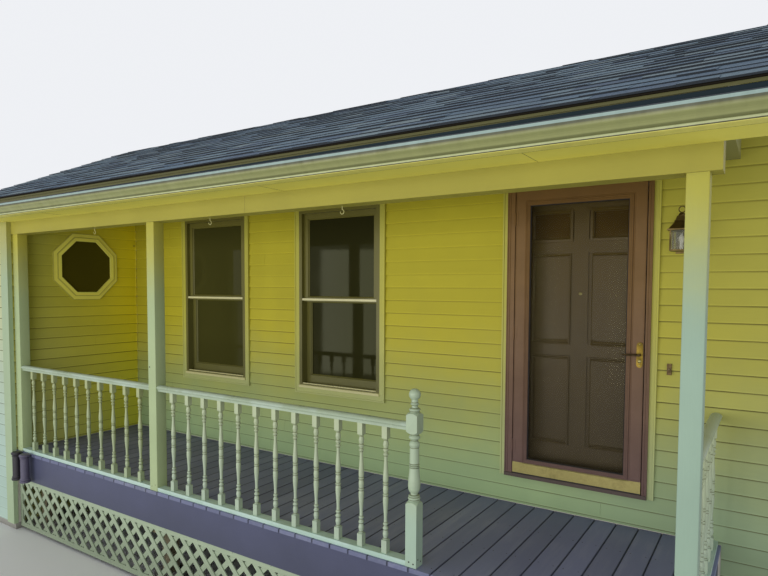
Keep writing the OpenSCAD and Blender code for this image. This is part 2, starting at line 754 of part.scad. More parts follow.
// Square posts between deck and beam
module porch_posts() color("beige")
    for (x = [left_x + siding_t, left_x + middle_x, rim_x - post_w])
        block([x, front_y, deck_h], [x + post_w, front_y + post_w, deck_h + beam_foot]);

// Turned newel: square base, vase, rings, a block at the rail and a ball on top. The square parts
// have turned shoulders, which run out in rounded points on their faces.
newel_base = 364;
newel_block = [742, 859];
newel_top = 992;
ball_r = 33;
shoulder_r = 31;
shoulder_h = 15;
corner_r = newel_w * 0.71;
function bead(z0, z1, r, out, n = 6) =
    [for (i = [0 : n]) [r + out * sin(180 * i / n), z0 + (z1 - z0) * i / n]];
function shoulder(z, way) =
    [for (p = [[0, 0], [0.35, 0.45], [0.7, 0.78], [1, 1]])
        [shoulder_r + (corner_r - shoulder_r) * p[1], z + way * shoulder_h * p[0]]];
function flip(list) = [for (i = [len(list) - 1 : -1 : 0]) list[i]];

module newel_square(z0, z1, foot_turned) intersection() {
    translate([-newel_w / 2, -newel_w / 2, z0]) cube([newel_w, newel_w, z1 - z0]);
    rotate_extrude($fn = 48) polygon(concat(
        [[0, z0]], foot_turned ? shoulder(z0, 1) : [[corner_r, z0]], flip(shoulder(z1, -1)), [[0, z1]]
    ));
}

module newel_post() color("beige") translate([newel_c, rail_c, deck_h]) union() {
    newel_square(0, newel_base, false);
    translate([0, 0, newel_base]) rotate_extrude($fn = 48) polygon(concat(
        [[0, -2], [28, -2]],
        bead(1, 9, 29, 4, 4), bead(11, 25, 30, 5, 4), bead(27, 35, 28, 4, 4),
        [[20, 38], [20, 47]],
        [[27, 54], [33, 68], [35, 90], [34, 118], [29, 160], [27, 188]],
        bead(190, 198, 24.5, 5.5, 4), bead(202, 210, 24.5, 5.5, 4),
        [[27, 212], [26, 298]],
        bead(302, 334, 24, 6),
        [[19, 338], [19, 343]],
        bead(346, 370, 24, 8),
        [[26, newel_block[0] - newel_base + 2], [0, newel_block[0] - newel_base + 2]]
    ));
    newel_square(newel_block[0], newel_block[1], true);
    translate([0, 0, newel_block[1]]) rotate_extrude($fn = 48) polygon(concat(
        [[0, -2], [26, -2]],
        bead(0, 6, 26, 2, 4),
        bead(8, 24, 26, 6),
        [[23, 26], [17, 30], [16, 38]],
        bead(41, 55, 18, 6, 4), [[19, 58]],
        [for (a = [-56 : 14 : 70]) [ball_r * cos(a), newel_top - newel_block[1] - ball_r + ball_r * sin(a)]],
        [[0, newel_top - newel_block[1]]]
    ));
}

// Moulded handrail seen from its end, one half of it: crown, bead, cove and a fillet under it.
// The points are shares of the rail's half width and of the cap's thickness.
rail_half = [[0, 0], [0.34, 0.03], [0.62, 0.13], [0.84, 0.29], [0.94, 0.42], [1, 0.5], [1, 0.6],
             [0.94, 0.67], [0.86, 0.7], [0.76, 0.8], [0.7, 0.92], [0.7, 1]];
fillet_w = 38;
module rail_outline() union() {
    for (side = [-1, 1]) polygon(concat(
        [[0, -rail_t]], [for (p = rail_half) [side * p[0] * rail_w / 2, -p[1] * rail_t]]
    ));
    translate([-fillet_w / 2, -rail_t - fillet_t]) square([fillet_w, fillet_t + 1]);
}

module rail_along_x(x0, x1) translate([0, rail_c, deck_h + rail_top])
    along_x(x0, x1) rail_outline();

module handrails() color("ivory") {
    rail_along_x(left_bay[0], left_bay[1]);
    rail_along_x(front_bay[0], front_bay[1]);
    translate([side_rail_c, 0, deck_h + rail_top]) along_y(side_bay[0], face_y) rail_outline();
}

module bottom_rails() color("ivory") {
    for (bay = [left_bay, front_bay])
        block([bay[0], rail_c - shoe_w / 2, deck_h], [bay[1], rail_c + shoe_w / 2, deck_h + shoe_t]);
    block([side_rail_c - shoe_w / 2, side_bay[0], deck_h],
          [side_rail_c + shoe_w / 2, face_y, deck_h + shoe_t]);
}

// Turned baluster: square ends, and two vases that mirror each other about a middle collar. Each
// half is drawn from its block inward: shoulder, barrel, bead, ring, vase and the collar's ring.
foot_block = 74;
head_block = 70;
turned_h = baluster_h - foot_block - head_block;
baluster_half = concat(
    [[15, 0]], bead(1, 8, 12.5, 4, 4), [[11, 11], [13, 16], [16.8, 34], [13.5, 51], [10.5, 56]],
    bead(59, 75, 11.5, 5.7, 4), [[10.5, 80]], bead(86, 100, 10.5, 5.2, 4)
);
vase = [[0.2, 9.5], [0.24, 10], [0.31, 13], [0.37, 15.8], [0.41, 16.2], [0.428, 14]];
collar_at = 0.445;
collar_r = 12.5;
collar_out = 4.8;
baluster_side = concat(
    baluster_half, [for (p = vase) [p[1], p[0] * turned_h]],
    bead(collar_at * turned_h - 5, collar_at * turned_h + 5, collar_r, collar_out, 4),
    [[collar_r + 1, collar_at * turned_h + 7], [16, turned_h / 2]]
);
module baluster() union() {
    translate([-baluster_w / 2, -baluster_w / 2, 0]) cube([baluster_w, baluster_w, foot_block]);
    translate([-baluster_w / 2, -baluster_w / 2, baluster_h - head_block])
        cube([baluster_w, baluster_w, head_block]);
    translate([0, 0, foot_block]) rotate_extrude($fn = 32) polygon(concat(
        [[0, -1], [15, -1]], baluster_side,
        [for (p = flip(baluster_side)) if (p[1] < turned_h / 2) [p[0], turned_h - p[1]]],
        [[15, turned_h + 1], [0, turned_h + 1]]
    ));
}

// Centres of n balusters with even gaps between two faces
function centres(bay, n) = let (gap = (bay[1] - bay[0] - n * baluster_w) / (n + 1))
    [for (i = [0 : n - 1]) bay[0] + gap + baluster_w / 2 + i * (gap + baluster_w)];

module left_balusters() color("beige")
    for (x = centres(left_bay, left_count)) translate([x, rail_c, baluster_foot]) baluster();

module front_balusters() color("beige")
    for (x = centres(front_bay, front_count)) translate([x, rail_c, baluster_foot]) baluster();

module side_balusters() color("beige")
    for (y = centres(side_bay, side_count)) translate([side_rail_c, y, baluster_foot]) baluster();

// Boxed front beam from the return wall past the end post
module front_beam() color("khaki")
    block([left_x, beam_y, deck_h + beam_foot], [beam_end_x, beam_back_y, beam_top]);

module ceiling() color("khaki")
    block([left_x, beam_back_y, ceiling_z], [beam_end_x - post_w, face_y, ceiling_z + ceiling_t]);

// End of the roof space over the side railing: a boxed header with a board up to the roof
header_h = 110;
module end_panel() color("khaki") union() {
    block([beam_end_x - post_w, beam_back_y, ceiling_z], [beam_end_x, face_y, ceiling_z + header_h]);
    along_x(beam_end_x - eave_board_t, beam_end_x) polygon([
        [beam_back_y, ceiling_z + 1], [face_y, ceiling_z + 1], [face_y, under_roof(face_y)],
        [beam_back_y, under_roof(beam_back_y)]
    ]);
}

module soffit() color("khaki") union() {
    block([left_x, eave_board_y + eave_board_t, deck_h + soffit_foot],
          [wall_end_x, beam_y, deck_h + soffit_foot + soffit_t]);
    block([wing_end_x, eave_board_y + eave_board_t, deck_h + soffit_foot],
          [left_x, wing_y, deck_h + soffit_foot + soffit_t]);
}

module eave_board() color("khaki")
    block([wing_end_x, eave_board_y, eave_board_foot],
          [wall_end_x, eave_board_y + eave_board_t, eave_board_foot + eave_board_h]);

// Gutter seen from its end: flat back, flat foot, and a front with a cove, a fascia and a lip
module gutter() color("palegoldenrod") along_x(wing_end_x, wall_end_x) polygon([
    [eave_board_y, gutter_foot + gutter_h], [eave_board_y, gutter_foot],
    [gutter_y + 42, gutter_foot], [gutter_y + 40, gutter_foot + 16],
    [gutter_y + 24, gutter_foot + 36], [gutter_y + 4, gutter_foot + 52],
    [gutter_y, gutter_foot + gutter_h], [gutter_y + 14, gutter_foot + gutter_h],
    [gutter_y + 14, gutter_foot + gutter_h - gutter_t],
    [gutter_y + gutter_t, gutter_foot + gutter_h - gutter_t],
    [gutter_y + gutter_t + 4, gutter_foot + 54],
    [gutter_y + gutter_t + 24, gutter_foot + 38],
    [gutter_y + gutter_t + 40, gutter_foot + 18],
    [gutter_y + gutter_t + 42, gutter_foot + gutter_t], [eave_board_y - gutter_t, gutter_foot + gutter_t],
    [eave_board_y - gutter_t, gutter_foot + gutter_h]
]);

module rafter_outline(seat) polygon([
    [eave_board_y + eave_board_t, under_roof(eave_board_y + eave_board_t)],
    [eave_board_y + eave_board_t, deck_h + soffit_foot + soffit_t],
    [seat[0], deck_h + soffit_foot + soffit_t],
    [seat[0], beam_top],
    [seat[1], beam_top],
    [seat[1], max(plate_z(seat[1]), beam_top)],
    [face_y, wall_top_z + clear],
    [back_y, wall_top_z + clear],
    [back_y, under_roof(back_y)]
]);

rafter_span = wall_end_x - wing_end_x - rafter_w;
module rafters() color("burlywood")
    for (i = [0 : rafter_count - 1])
        let (x = wing_end_x + i * rafter_span / (rafter_count - 1))
        along_x(x, x + rafter_w)
            rafter_outline(x < left_x ? [wing_y, wing_y + wall_t] : [beam_y, beam_back_y]);

module roof_slab(drop, thick, y0) polygon([
    [y0, roof_z(y0) - drop], [back_y, roof_z(back_y) - drop],
    [back_y, roof_z(back_y) - drop - thick], [y0, roof_z(y0) - drop - thick]
]);

module roof_boards() color("tan")
    along_x(wing_end_x, wall_end_x) roof_slab(sheathing_drop, sheathing_t, eave_board_y - 6);

module roofing() color("dimgray")
    along_x(wing_end_x, wall_end_x) roof_slab(0, shingle_t, eave_y);

house_foundation();
window_wall();
wall_over_door();
wall_under_door();
end_wall();
return_wall();
wing_wall();
corner_board();
window_casings();
window_frames();
window_sashes();
window_glass();
octagon_casing();
door_casing();
door_frame();
door_sill();
storm_door();
storm_glass();
kick_strip();
lever_plate();
storm_lever();
entry_door();
entry_glass();
entry_knob();
lantern();
lantern_glass();
bell_push();
piers();
pier_posts();
deck_bearers();
deck_joists();
deck_floor();
deck_fascia();
fascia_blocks();
front_lattice();
side_lattice();
stringers();
treads();
risers();
porch_posts();
newel_post();
handrails();
bottom_rails();
left_balusters();
front_balusters();
side_balusters();
front_beam();
ceiling();
end_panel();
soffit();
eave_board();
gutter();
rafters();
roof_boards();
roofing();
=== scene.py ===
import math
import random

import bmesh
import bpy
from mathutils import Matrix, Vector


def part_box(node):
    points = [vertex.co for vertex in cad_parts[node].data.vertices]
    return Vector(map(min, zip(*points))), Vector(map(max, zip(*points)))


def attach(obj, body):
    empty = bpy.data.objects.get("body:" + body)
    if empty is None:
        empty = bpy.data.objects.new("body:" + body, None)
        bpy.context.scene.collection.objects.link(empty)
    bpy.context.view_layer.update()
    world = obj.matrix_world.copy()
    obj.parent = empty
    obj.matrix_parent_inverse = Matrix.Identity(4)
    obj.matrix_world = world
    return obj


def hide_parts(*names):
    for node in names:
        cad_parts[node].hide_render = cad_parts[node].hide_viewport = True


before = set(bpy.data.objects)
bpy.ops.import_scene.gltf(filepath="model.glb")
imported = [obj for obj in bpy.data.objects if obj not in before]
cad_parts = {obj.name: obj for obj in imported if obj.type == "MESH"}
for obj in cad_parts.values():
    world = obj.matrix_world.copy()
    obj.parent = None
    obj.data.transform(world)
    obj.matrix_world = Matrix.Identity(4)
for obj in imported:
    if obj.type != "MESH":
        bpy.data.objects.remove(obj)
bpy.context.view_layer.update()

# Camera: the photograph is taken from in front of the steps, at head height, with a wide lens,
# looking left along the porch.
CAMERA_PLACE = (3.1035, -4.100, 2.296)
CAMERA_TURN = (32.66, 2.91, 0.30)
LENS_MM = 27.81
LENS_SHIFT = (-0.01235, 0.04055)

lens = bpy.data.cameras.new("view")
lens.lens = LENS_MM
lens.shift_x, lens.shift_y = LENS_SHIFT
lens.clip_end = 200
camera = bpy.data.objects.new("view", lens)
bpy.context.scene.collection.objects.link(camera)
bpy.context.scene.camera = camera
turn, dip, roll = (math.radians(a) for a in CAMERA_TURN)
camera.matrix_world = (
    Matrix.Translation(CAMERA_PLACE)
    @ Matrix.Rotation(turn, 4, "Z")
    @ Matrix.Rotation(math.pi / 2 - dip, 4, "X")
    @ Matrix.Rotation(roll, 4, "Z")
)
bpy.context.scene.view_settings.view_transform = "Standard"


# Studio: three big soft panels and an even sky over a plain pale floor. The sky that the camera
# and the glass see is plain white, and the light on the object comes from a quieter one.
def linear(hex_text):
    """An sRGB hex colour as linear RGBA."""
    parts = [int(hex_text[i:i + 2], 16) / 255 for i in (1, 3, 5)]
    return tuple(c / 12.92 if c <= 0.04045 else ((c + 0.055) / 1.055) ** 2.4 for c in parts) + (1.0,)


COLOURS = {"data_type": "RGBA"}


def add(tree, kind, settings=None, out=0, **inputs):
    """Adds one node and returns its output out, a number or a name. Settings are its properties,
    or only its operation. Inputs are values or sockets, by name or as n0, n1."""
    made = tree.nodes.new("ShaderNode" + kind)
    if isinstance(settings, str):
        settings = {"operation": settings}
    for name, value in (settings or {}).items():
        setattr(made, name, value)
    for name, value in inputs.items():
        key = int(name[1:]) if name[0] == "n" and name[1:].isdigit() else name.replace("_", " ")
        if isinstance(value, bpy.types.NodeSocket):
            tree.links.new(value, made.inputs[key])
        else:
            made.inputs[key].default_value = value
    return made.outputs[out] if made.outputs else None


def new_material(name):
    """An empty material, its node tree, and the place on the object that its patterns start from."""
    made = bpy.data.materials.new(name)
    made.use_nodes = True
    made.node_tree.nodes.clear()
    return made, made.node_tree, add(made.node_tree, "TexCoord", out="Object")


SKY_HEX, SKY_LIGHT, SKY_SEEN = "#f4f6fa", 0.64, 0.95
FLOOR_HEX, FLOOR_HALF = "#f4f4f2", 150
world = bpy.data.worlds.new("sky")
world.use_nodes = True
bpy.context.scene.world = world
sky = world.node_tree
sky.nodes.clear()
ray = add(sky, "LightPath").node.outputs
seen = add(sky, "Math", "MAXIMUM", n0=ray["Is Camera Ray"], n1=ray["Is Glossy Ray"])
seen = add(sky, "Math", "MAXIMUM", n0=seen, n1=ray["Is Transmission Ray"])
light_sky = add(sky, "Background", Color=linear(SKY_HEX), Strength=SKY_LIGHT)
seen_sky = add(sky, "Background", Color=linear(SKY_HEX), Strength=SKY_SEEN)
mixed_sky = add(sky, "MixShader", n0=seen, n1=light_sky, n2=seen_sky)
add(sky, "OutputWorld", Surface=mixed_sky)

floor_mesh = bpy.data.meshes.new("floor")
floor_mesh.from_pydata([(FLOOR_HALF * a, FLOOR_HALF * b, 0) for a, b in (
    (-1, -1), (1, -1), (1, 1), (-1, 1))], [], [(0, 1, 2, 3)])
floor = bpy.data.objects.new("floor", floor_mesh)
bpy.context.scene.collection.objects.link(floor)
floor_paint, tree, place = new_material("floor")
shader = add(tree, "BsdfPrincipled", Base_Color=linear(FLOOR_HEX), Roughness=0.9)
add(tree, "OutputMaterial", Surface=shader)
floor_mesh.materials.append(floor_paint)
not_floor = bpy.data.collections.new("not_floor")
not_floor.objects.link(floor)
not_floor.collection_objects[0].light_linking.link_state = "EXCLUDE"


def panel_light(name, place, aim, size, watts):
    """A soft lamp, size = (width, height), that points at a place and leaves the floor to the sky."""
    lamp = bpy.data.lights.new(name, "AREA")
    lamp.shape = "RECTANGLE"
    lamp.size, lamp.size_y = size
    lamp.energy = watts
    holder = bpy.data.objects.new(name, lamp)
    bpy.context.scene.collection.objects.link(holder)
    holder.location = place
    holder.rotation_euler = (Vector(aim) - Vector(place)).to_track_quat("-Z", "Y").to_euler()
    holder.light_linking.receiver_collection = not_floor


panel_light("key", (2.8, -9.6, 1.8), (0.6, -0.6, 1.8), (6.0, 3.4), 240)
panel_light("fill", (-4.0, -9.0, 1.7), (-0.8, -0.2, 1.9), (6.0, 3.2), 268)
panel_light("back", (-2.0, 8.5, 5.0), (0, 0, 1.6), (6.0, 6.0), 240)


# Foundation and piers: cast concrete, poured in forms and left grey. Fine sand shows as
# speckle, and water has darkened the foot.
CONCRETE_DRY, CONCRETE_DAMP = "#9c9a92", "#6f6d66"
SAND_MM = 6


def finish(nodes, material):
    """Gives CAD nodes, named with spaces between them, their material on all their slots."""
    for node in nodes.split():
        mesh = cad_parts[node].data
        if not mesh.materials:
            mesh.materials.append(material)
        for index in range(len(mesh.materials)):
            mesh.materials[index] = material


def mottle(tree, tone, pattern, **span):
    """Makes a colour darker and lighter with a pattern, over the span of a Map Range."""
    value = add(tree, "MapRange", Value=pattern, **span)
    return add(tree, "HueSaturation", Color=tone, Value=value)


concrete, tree, place = new_material("cast_concrete")
height = add(tree, "SeparateXYZ", out="Z", Vector=place)
blotch = add(tree, "TexNoise", Vector=place, Scale=4.0, Detail=6.0)
rise = add(tree, "Math", "MULTIPLY_ADD", n0=blotch, n1=0.09, n2=height)
dry = add(tree, "MapRange", Value=rise, From_Min=0.02, From_Max=0.11)
sand = add(tree, "TexNoise", Vector=place, Scale=1000 / SAND_MM, Detail=3.0)
tone = add(tree, "Mix", COLOURS, 2, n0=dry, n6=linear(CONCRETE_DAMP), n7=linear(CONCRETE_DRY))
tone = mottle(tree, tone, sand, From_Min=0.3, From_Max=0.7, To_Min=0.86, To_Max=1.1)
bump = add(tree, "Bump", Strength=0.5, Distance=0.002, Height=sand)
shader = add(tree, "BsdfPrincipled", Base_Color=tone, Roughness=0.92, Normal=bump)
add(tree, "OutputMaterial", Surface=shader)
finish("house_foundation piers", concrete)


# Hidden frame: sawn softwood, nailed together. The deck's frame is pressure treated and has
# greyed; rafters and roof boards stay pale under the roof.
GRAIN_MM = 7


def sawn_timber(name, early, late, along):
    """Sawn boards with dark late-wood streaks; along is the axis that the grain follows."""
    made, tree, place = new_material(name)
    scale = [1000 / GRAIN_MM] * 3
    scale[along] = 1000 / GRAIN_MM / 28
    long_way = add(tree, "Mapping", Vector=place, Scale=scale)
    streak = add(tree, "TexNoise", Vector=long_way, Scale=1.0, Detail=4.0, Distortion=0.6)
    sharp = add(tree, "MapRange", Value=streak, From_Min=0.38, From_Max=0.66)
    tone = add(tree, "Mix", COLOURS, 2, n0=sharp, n6=linear(early), n7=linear(late))
    own = add(tree, "NewGeometry", out="Random Per Island")
    tone = mottle(tree, tone, own, To_Min=0.86, To_Max=1.12)
    bump = add(tree, "Bump", Strength=0.35, Distance=0.0012, Height=streak)
    shader = add(tree, "BsdfPrincipled", Base_Color=tone, Roughness=0.78, Normal=bump)
    add(tree, "OutputMaterial", Surface=shader)
    return made


finish("pier_posts", sawn_timber("treated_posts", "#8a8166", "#5f563f", 2))
finish("deck_bearers", sawn_timber("treated_bearers", "#8a8166", "#5f563f", 1))
finish("deck_joists", sawn_timber("treated_joists", "#8d8469", "#615841", 0))
finish("rafters", sawn_timber("pine_rafters", "#c9a877", "#9b7644", 1))
finish("roof_boards", sawn_timber("pine_roof_boards", "#c2a273", "#946f41", 0))


# House walls: studs between board sheathing and, on the room side, plaster rolled with
# off-white paint. Only the plaster and the cut ends show; clapboards cover the front.
PLASTER_HEX = "#d6d2c4"
plaster, tree, place = new_material("rolled_plaster")
nap = add(tree, "TexNoise", Vector=place, Scale=1000 / 8, Detail=2.0)
cloud = add(tree, "TexNoise", Vector=place, Scale=1.6, Detail=3.0)
tone = mottle(tree, linear(PLASTER_HEX), cloud, From_Min=0.3, From_Max=0.7, To_Min=0.95, To_Max=1.03)
bump = add(tree, "Bump", Strength=0.3, Distance=0.001, Height=nap)
shader = add(tree, "BsdfPrincipled", Base_Color=tone, Roughness=0.8, Normal=bump)
add(tree, "OutputMaterial", Surface=shader)
finish("window_wall wall_over_door wall_under_door end_wall return_wall wing_wall", plaster)


# Clapboards: bevelled cedar boards, nailed one over the next with 4 inches showing, and brushed
# with yellow satin paint. Its colour is painted yellower up under the roof, where light comes back
# from the yellow boards, and paler low down, where the sky lights it: painted light. A line of
# painted shade runs under each board's edge, and a painted highlight along each board's foot.
LAP = 0.1016
BUTT_T, TOP_T = 0.0135, 0.0035
BUTT_GAP, LEAST_END, JOINT_SPAN = 0.0014, 0.15, (0.4, 3.4)
LEAST_STRIP, LEAST_LEVEL, LEAST_WIDE, MOST_COURSES = 0.004, 0.0015, 0.003, 60
FIRST_BUTT = 0.025
WALL_GOLD, WALL_PALE = "#b6ab2a", "#93ab7d"
BRUSH_MM = 3
# The height and colour of the painted shade line under each board's edge, and the height of the painted
# highlight along each board's foot. The same colour paints shade in grooves and along the octagon's steps.
SHADE_LINE_MM, SHADE_HEX, HIGHLIGHT_MM = 12, "#4b4413", 12
# Courses are counted from so many below the deck. Over these heights above the deck the painted
# shade line goes from its low share to its high one.
COURSES_BELOW = 50
SHADE_LINE_FROM, SHADE_LINE_TO = 0.9, 1.7
GROOVE_HALF = 0.0022


def painted_wood(name, upper, lower, z_low, z_high, along, roughness=0.5, chips=0.0, bare="#8b7a5c",
                 dust=None, sheen=0.4, aside=None, grooves=None):
    """Satin paint brushed on wood. It pales from z_high down to z_low, brush strokes follow the
    axis along, and chips is the share where it has come off down to bare wood. Each board differs
    a little: lapped boards by their course, other boards by their own mesh island. Lapped boards
    are those with dust, which here gives the shares of painted shade, low down and high up: a dark
    line of painted shade under the next board's edge, and a painted highlight along each board's
    own foot. Along the axis aside[0] the paint turns from aside[1] to aside[2] to another upper and
    lower colour, and dust[2] is added to the shade line's share. Turned work has painted shade in
    its grooves: (centre, half, places), each place counted from both ends of centre - half ..
    centre + half."""
    made, tree, place = new_material(name)
    height = add(tree, "SeparateXYZ", out="Z", Vector=place)
    cloud = add(tree, "TexNoise", Vector=place, Scale=2.3, Detail=5.0, Roughness=0.6)
    lifted = add(tree, "Math", "MULTIPLY_ADD", n0=cloud, n1=0.35, n2=height)
    upper_share = add(tree, "MapRange", {"interpolation_type": "SMOOTHSTEP"},
               Value=lifted, From_Min=z_low + 0.17, From_Max=z_high + 0.17)
    tone = add(tree, "Mix", COLOURS, 2, n0=upper_share, n6=linear(lower), n7=linear(upper))
    if aside:
        far = add(tree, "MapRange", Value=add(tree, "SeparateXYZ", out=aside[0], Vector=place),
                  From_Min=aside[1], From_Max=aside[2])
        other = add(tree, "Mix", COLOURS, 2, n0=upper_share, n6=linear(aside[4]), n7=linear(aside[3]))
        tone = add(tree, "Mix", COLOURS, 2, n0=far, n6=tone, n7=other)
    scale = [1000 / BRUSH_MM] * 3
    scale[along] = 1000 / BRUSH_MM / 45
    stroke = add(tree, "Mapping", Vector=place, Scale=scale)
    stroke = add(tree, "TexNoise", Vector=stroke, Scale=1.0, Detail=3.0)
    courses = add(tree, "Math", "MULTIPLY_ADD", n0=height, n1=1 / LAP,
                  n2=COURSES_BELOW - (deck_top + FIRST_BUTT) / LAP)
    course = add(tree, "Math", "FLOOR", n0=courses)
    board = (add(tree, "TexWhiteNoise", {"noise_dimensions": "1D"}, W=course) if dust
             else add(tree, "NewGeometry", out="Random Per Island"))
    value = add(tree, "MapRange", Value=cloud, From_Min=0.3, From_Max=0.7, To_Min=0.95, To_Max=1.04)
    for pattern, low, high, change in ((board, 0, 1, 0.03), (stroke, 0.3, 0.7, 0.015)):
        value = add(tree, "Math", "MULTIPLY", n0=value, n1=add(
            tree, "MapRange", Value=pattern, From_Min=low, From_Max=high,
            To_Min=1 - change, To_Max=1 + change))
    tone = add(tree, "HueSaturation", Color=tone, Value=value)
    rough = add(tree, "MapRange", Value=cloud, To_Min=roughness - 0.08, To_Max=roughness + 0.1)
    if dust:
        # Painted shade: a dark line under the next board's edge, then a painted highlight along the board's
        # own foot.
        under_lap = add(tree, "Math", "FRACT", n0=courses)
        lap_shade = add(tree, "MapRange", Value=under_lap, From_Min=1 - SHADE_LINE_MM / 1000 / LAP,
                    From_Max=1 - SHADE_LINE_MM / 3000 / LAP)
        share = add(tree, "MapRange", Value=height, From_Min=deck_top + SHADE_LINE_FROM,
                    From_Max=deck_top + SHADE_LINE_TO, To_Min=dust[0], To_Max=dust[1])
        if aside:
            share = add(tree, "Math", {"operation": "MULTIPLY_ADD", "use_clamp": True},
                        n0=far, n1=dust[2], n2=share)
        share = add(tree, "Math", "MULTIPLY", n0=share, n1=add(
            tree, "MapRange", Value=cloud, From_Min=0.3, From_Max=0.6, To_Min=0.6, To_Max=1.0))
        ragged_shade = add(tree, "Math", "MULTIPLY", n0=lap_shade, n1=share)
        tone = add(tree, "Mix", COLOURS, 2, n0=ragged_shade, n6=tone, n7=linear(SHADE_HEX))
        tone = mottle(tree, tone, under_lap, From_Min=HIGHLIGHT_MM / 1000 / LAP, From_Max=0.0,
                      To_Min=1.0, To_Max=1.14)
    if chips:
        flake = add(tree, "TexNoise", Vector=place, Scale=46.0, Detail=4.0, Roughness=0.7)
        gone = add(tree, "MapRange", Value=flake, From_Min=0.80 - chips, From_Max=0.815 - chips)
        tone = add(tree, "Mix", COLOURS, 2, n0=gone, n6=tone, n7=linear(bare))
    if grooves:
        # Painted shade: darker lines in the grooves of turned work.
        away = add(tree, "Math", "ABSOLUTE", n0=add(
            tree, "Math", "SUBTRACT", n0=height, n1=grooves[0]))
        darkening = 0.0
        for at in grooves[2]:
            line = add(tree, "Math", "COMPARE", n0=away, n1=grooves[1] - at, n2=GROOVE_HALF)
            darkening = add(tree, "Math", "MULTIPLY_ADD", n0=line, n1=0.55, n2=darkening)
        tone = add(tree, "Mix", COLOURS, 2, n0=darkening, n6=tone, n7=linear(SHADE_HEX))
    bump = add(tree, "Bump", Strength=0.3, Distance=0.0006, Height=stroke)
    shader = add(tree, "BsdfPrincipled", Base_Color=tone, Roughness=rough, Normal=bump,
                 Specular_IOR_Level=sheen)
    add(tree, "OutputMaterial", Surface=shader)
    return made


def make_piece(name, parts, material, smooth=False, body="porch", replaces=None):
    """One mesh object from a list of (corners, faces), with its normals facing out. It moves with
    its body, and may replace a plainer CAD node."""
    mesh = bpy.data.meshes.new(name)
    corners, faces = [], []
    for part_corners, part_faces in parts:
        start = len(corners)
        corners += part_corners
        faces += [tuple(start + i for i in face) for face in part_faces]
    mesh.from_pydata(corners, [], faces)
    work = bmesh.new()
    work.from_mesh(mesh)
    bmesh.ops.recalc_face_normals(work, faces=work.faces)
    work.to_mesh(mesh)
    work.free()
    mesh.materials.append(material)
    if smooth:
        mesh.polygons.foreach_set("use_smooth", [True] * len(mesh.polygons))
        mesh.set_sharp_from_angle(angle=math.radians(38))
    made = bpy.data.objects.new(name, mesh)
    bpy.context.scene.collection.objects.link(made)
    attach(made, body)
    if replaces:
        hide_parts(replaces)
    return made


HEX_FACES = [(0, 1, 2, 3), (4, 5, 6, 7), (0, 1, 5, 4), (1, 2, 6, 5), (2, 3, 7, 6), (3, 0, 4, 7)]


def span_of(outline, z):
    """The lowest and highest u of a convex outline of (u, z) points at a height, or None."""
    hits = []
    for (u0, z0), (u1, z1) in zip(outline, outline[1:] + outline[:1]):
        if min(z0, z1) <= z <= max(z0, z1) and z0 != z1:
            hits.append(u0 + (u1 - u0) * (z - z0) / (z1 - z0))
    return (min(hits), max(hits)) if hits else None


def clad(place_at, u0, u1, z0, z1, holes=(), seed=0):
    """Clapboards over u0..u1, z0..z1 round convex holes. place_at(u, out, z) gives the point that
    stands out of the sheathing by out."""
    parts = []
    shuffled = random.Random(seed)
    first = math.floor((z0 - deck_top - FIRST_BUTT) / LAP)
    for number in range(first, first + MOST_COURSES):
        foot = deck_top + FIRST_BUTT + number * LAP
        low, high = max(foot, z0), min(foot + LAP, z1)
        joint = u0 + shuffled.uniform(*JOINT_SPAN)
        if high - low < LEAST_STRIP:
            continue
        levels = sorted({low, high} | {z for hole in holes for _, z in hole if low < z < high})
        for za, zb in zip(levels, levels[1:]):
            if zb - za < LEAST_LEVEL:
                continue
            blocked = [(span_of(hole, za + 1e-5), span_of(hole, zb - 1e-5)) for hole in holes]
            blocked = sorted(pair for pair in blocked if pair[0] and pair[1])
            starts = [(u0, u0)] + [(a[1], b[1]) for a, b in blocked]
            ends = [(a[0], b[0]) for a, b in blocked] + [(u1, u1)]
            for (la, lb), (ra, rb) in zip(starts, ends):
                cuts = [(la, lb), (ra, rb)]
                if max(la, lb) + LEAST_END < joint < min(ra, rb) - LEAST_END:
                    cuts = [(la, lb), (joint - BUTT_GAP / 2,) * 2, (joint + BUTT_GAP / 2,) * 2, (ra, rb)]
                for (pa, pb), (qa, qb) in zip(cuts[::2], cuts[1::2]):
                    if max(qa - pa, qb - pb) < LEAST_WIDE:
                        continue
                    ta = BUTT_T + (TOP_T - BUTT_T) * (za - foot) / LAP
                    tb = BUTT_T + (TOP_T - BUTT_T) * (zb - foot) / LAP
                    parts.append(([place_at(u, out * t, z) for out in (1, 0) for u, t, z in (
                        (pa, ta, za), (qa, ta, za), (qb, tb, zb), (pb, tb, zb))], HEX_FACES))
    return parts


deck_low, deck_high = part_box("deck_floor")
deck_top = deck_high[2]
left_x, rim_x = deck_low[0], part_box("deck_fascia")[1][0]
face_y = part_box("window_wall")[0][1]
door_low, door_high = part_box("door_casing")
ceiling_low, ceiling_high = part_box("ceiling")
beam_low, beam_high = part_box("front_beam")
wing_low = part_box("wing_wall")[0]
corner_low, corner_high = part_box("corner_board")
casing_low, casing_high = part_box("window_casings")
CASING_SPAN = 0.964
window_holes = [[(x, casing_low[2]), (x + CASING_SPAN, casing_low[2]),
                 (x + CASING_SPAN, casing_high[2]), (x, casing_high[2])]
                for x in (casing_low[0], casing_high[0] - CASING_SPAN)]
under_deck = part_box("deck_bearers")[0][2] - 0.01
wall_end_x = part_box("end_wall")[1][0]
panel_low, panel_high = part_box("end_panel")
over_deck = deck_top + 0.004
RETURN_FRONT_Y = -1.300
# Boards that meet another wall's boards stop this far from its sheathing.
CORNER_CLEAR = 0.014


def centre(node):
    """The middle of a CAD node's box."""
    return [(a + b) / 2 for a, b in zip(*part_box(node))]


def on_front(u, out, z):
    return (u, face_y - out, z)


def on_wing(u, out, z):
    return (u, wing_low[1] - out, z)


def on_return(u, out, z):
    return (left_x + out, u, z)


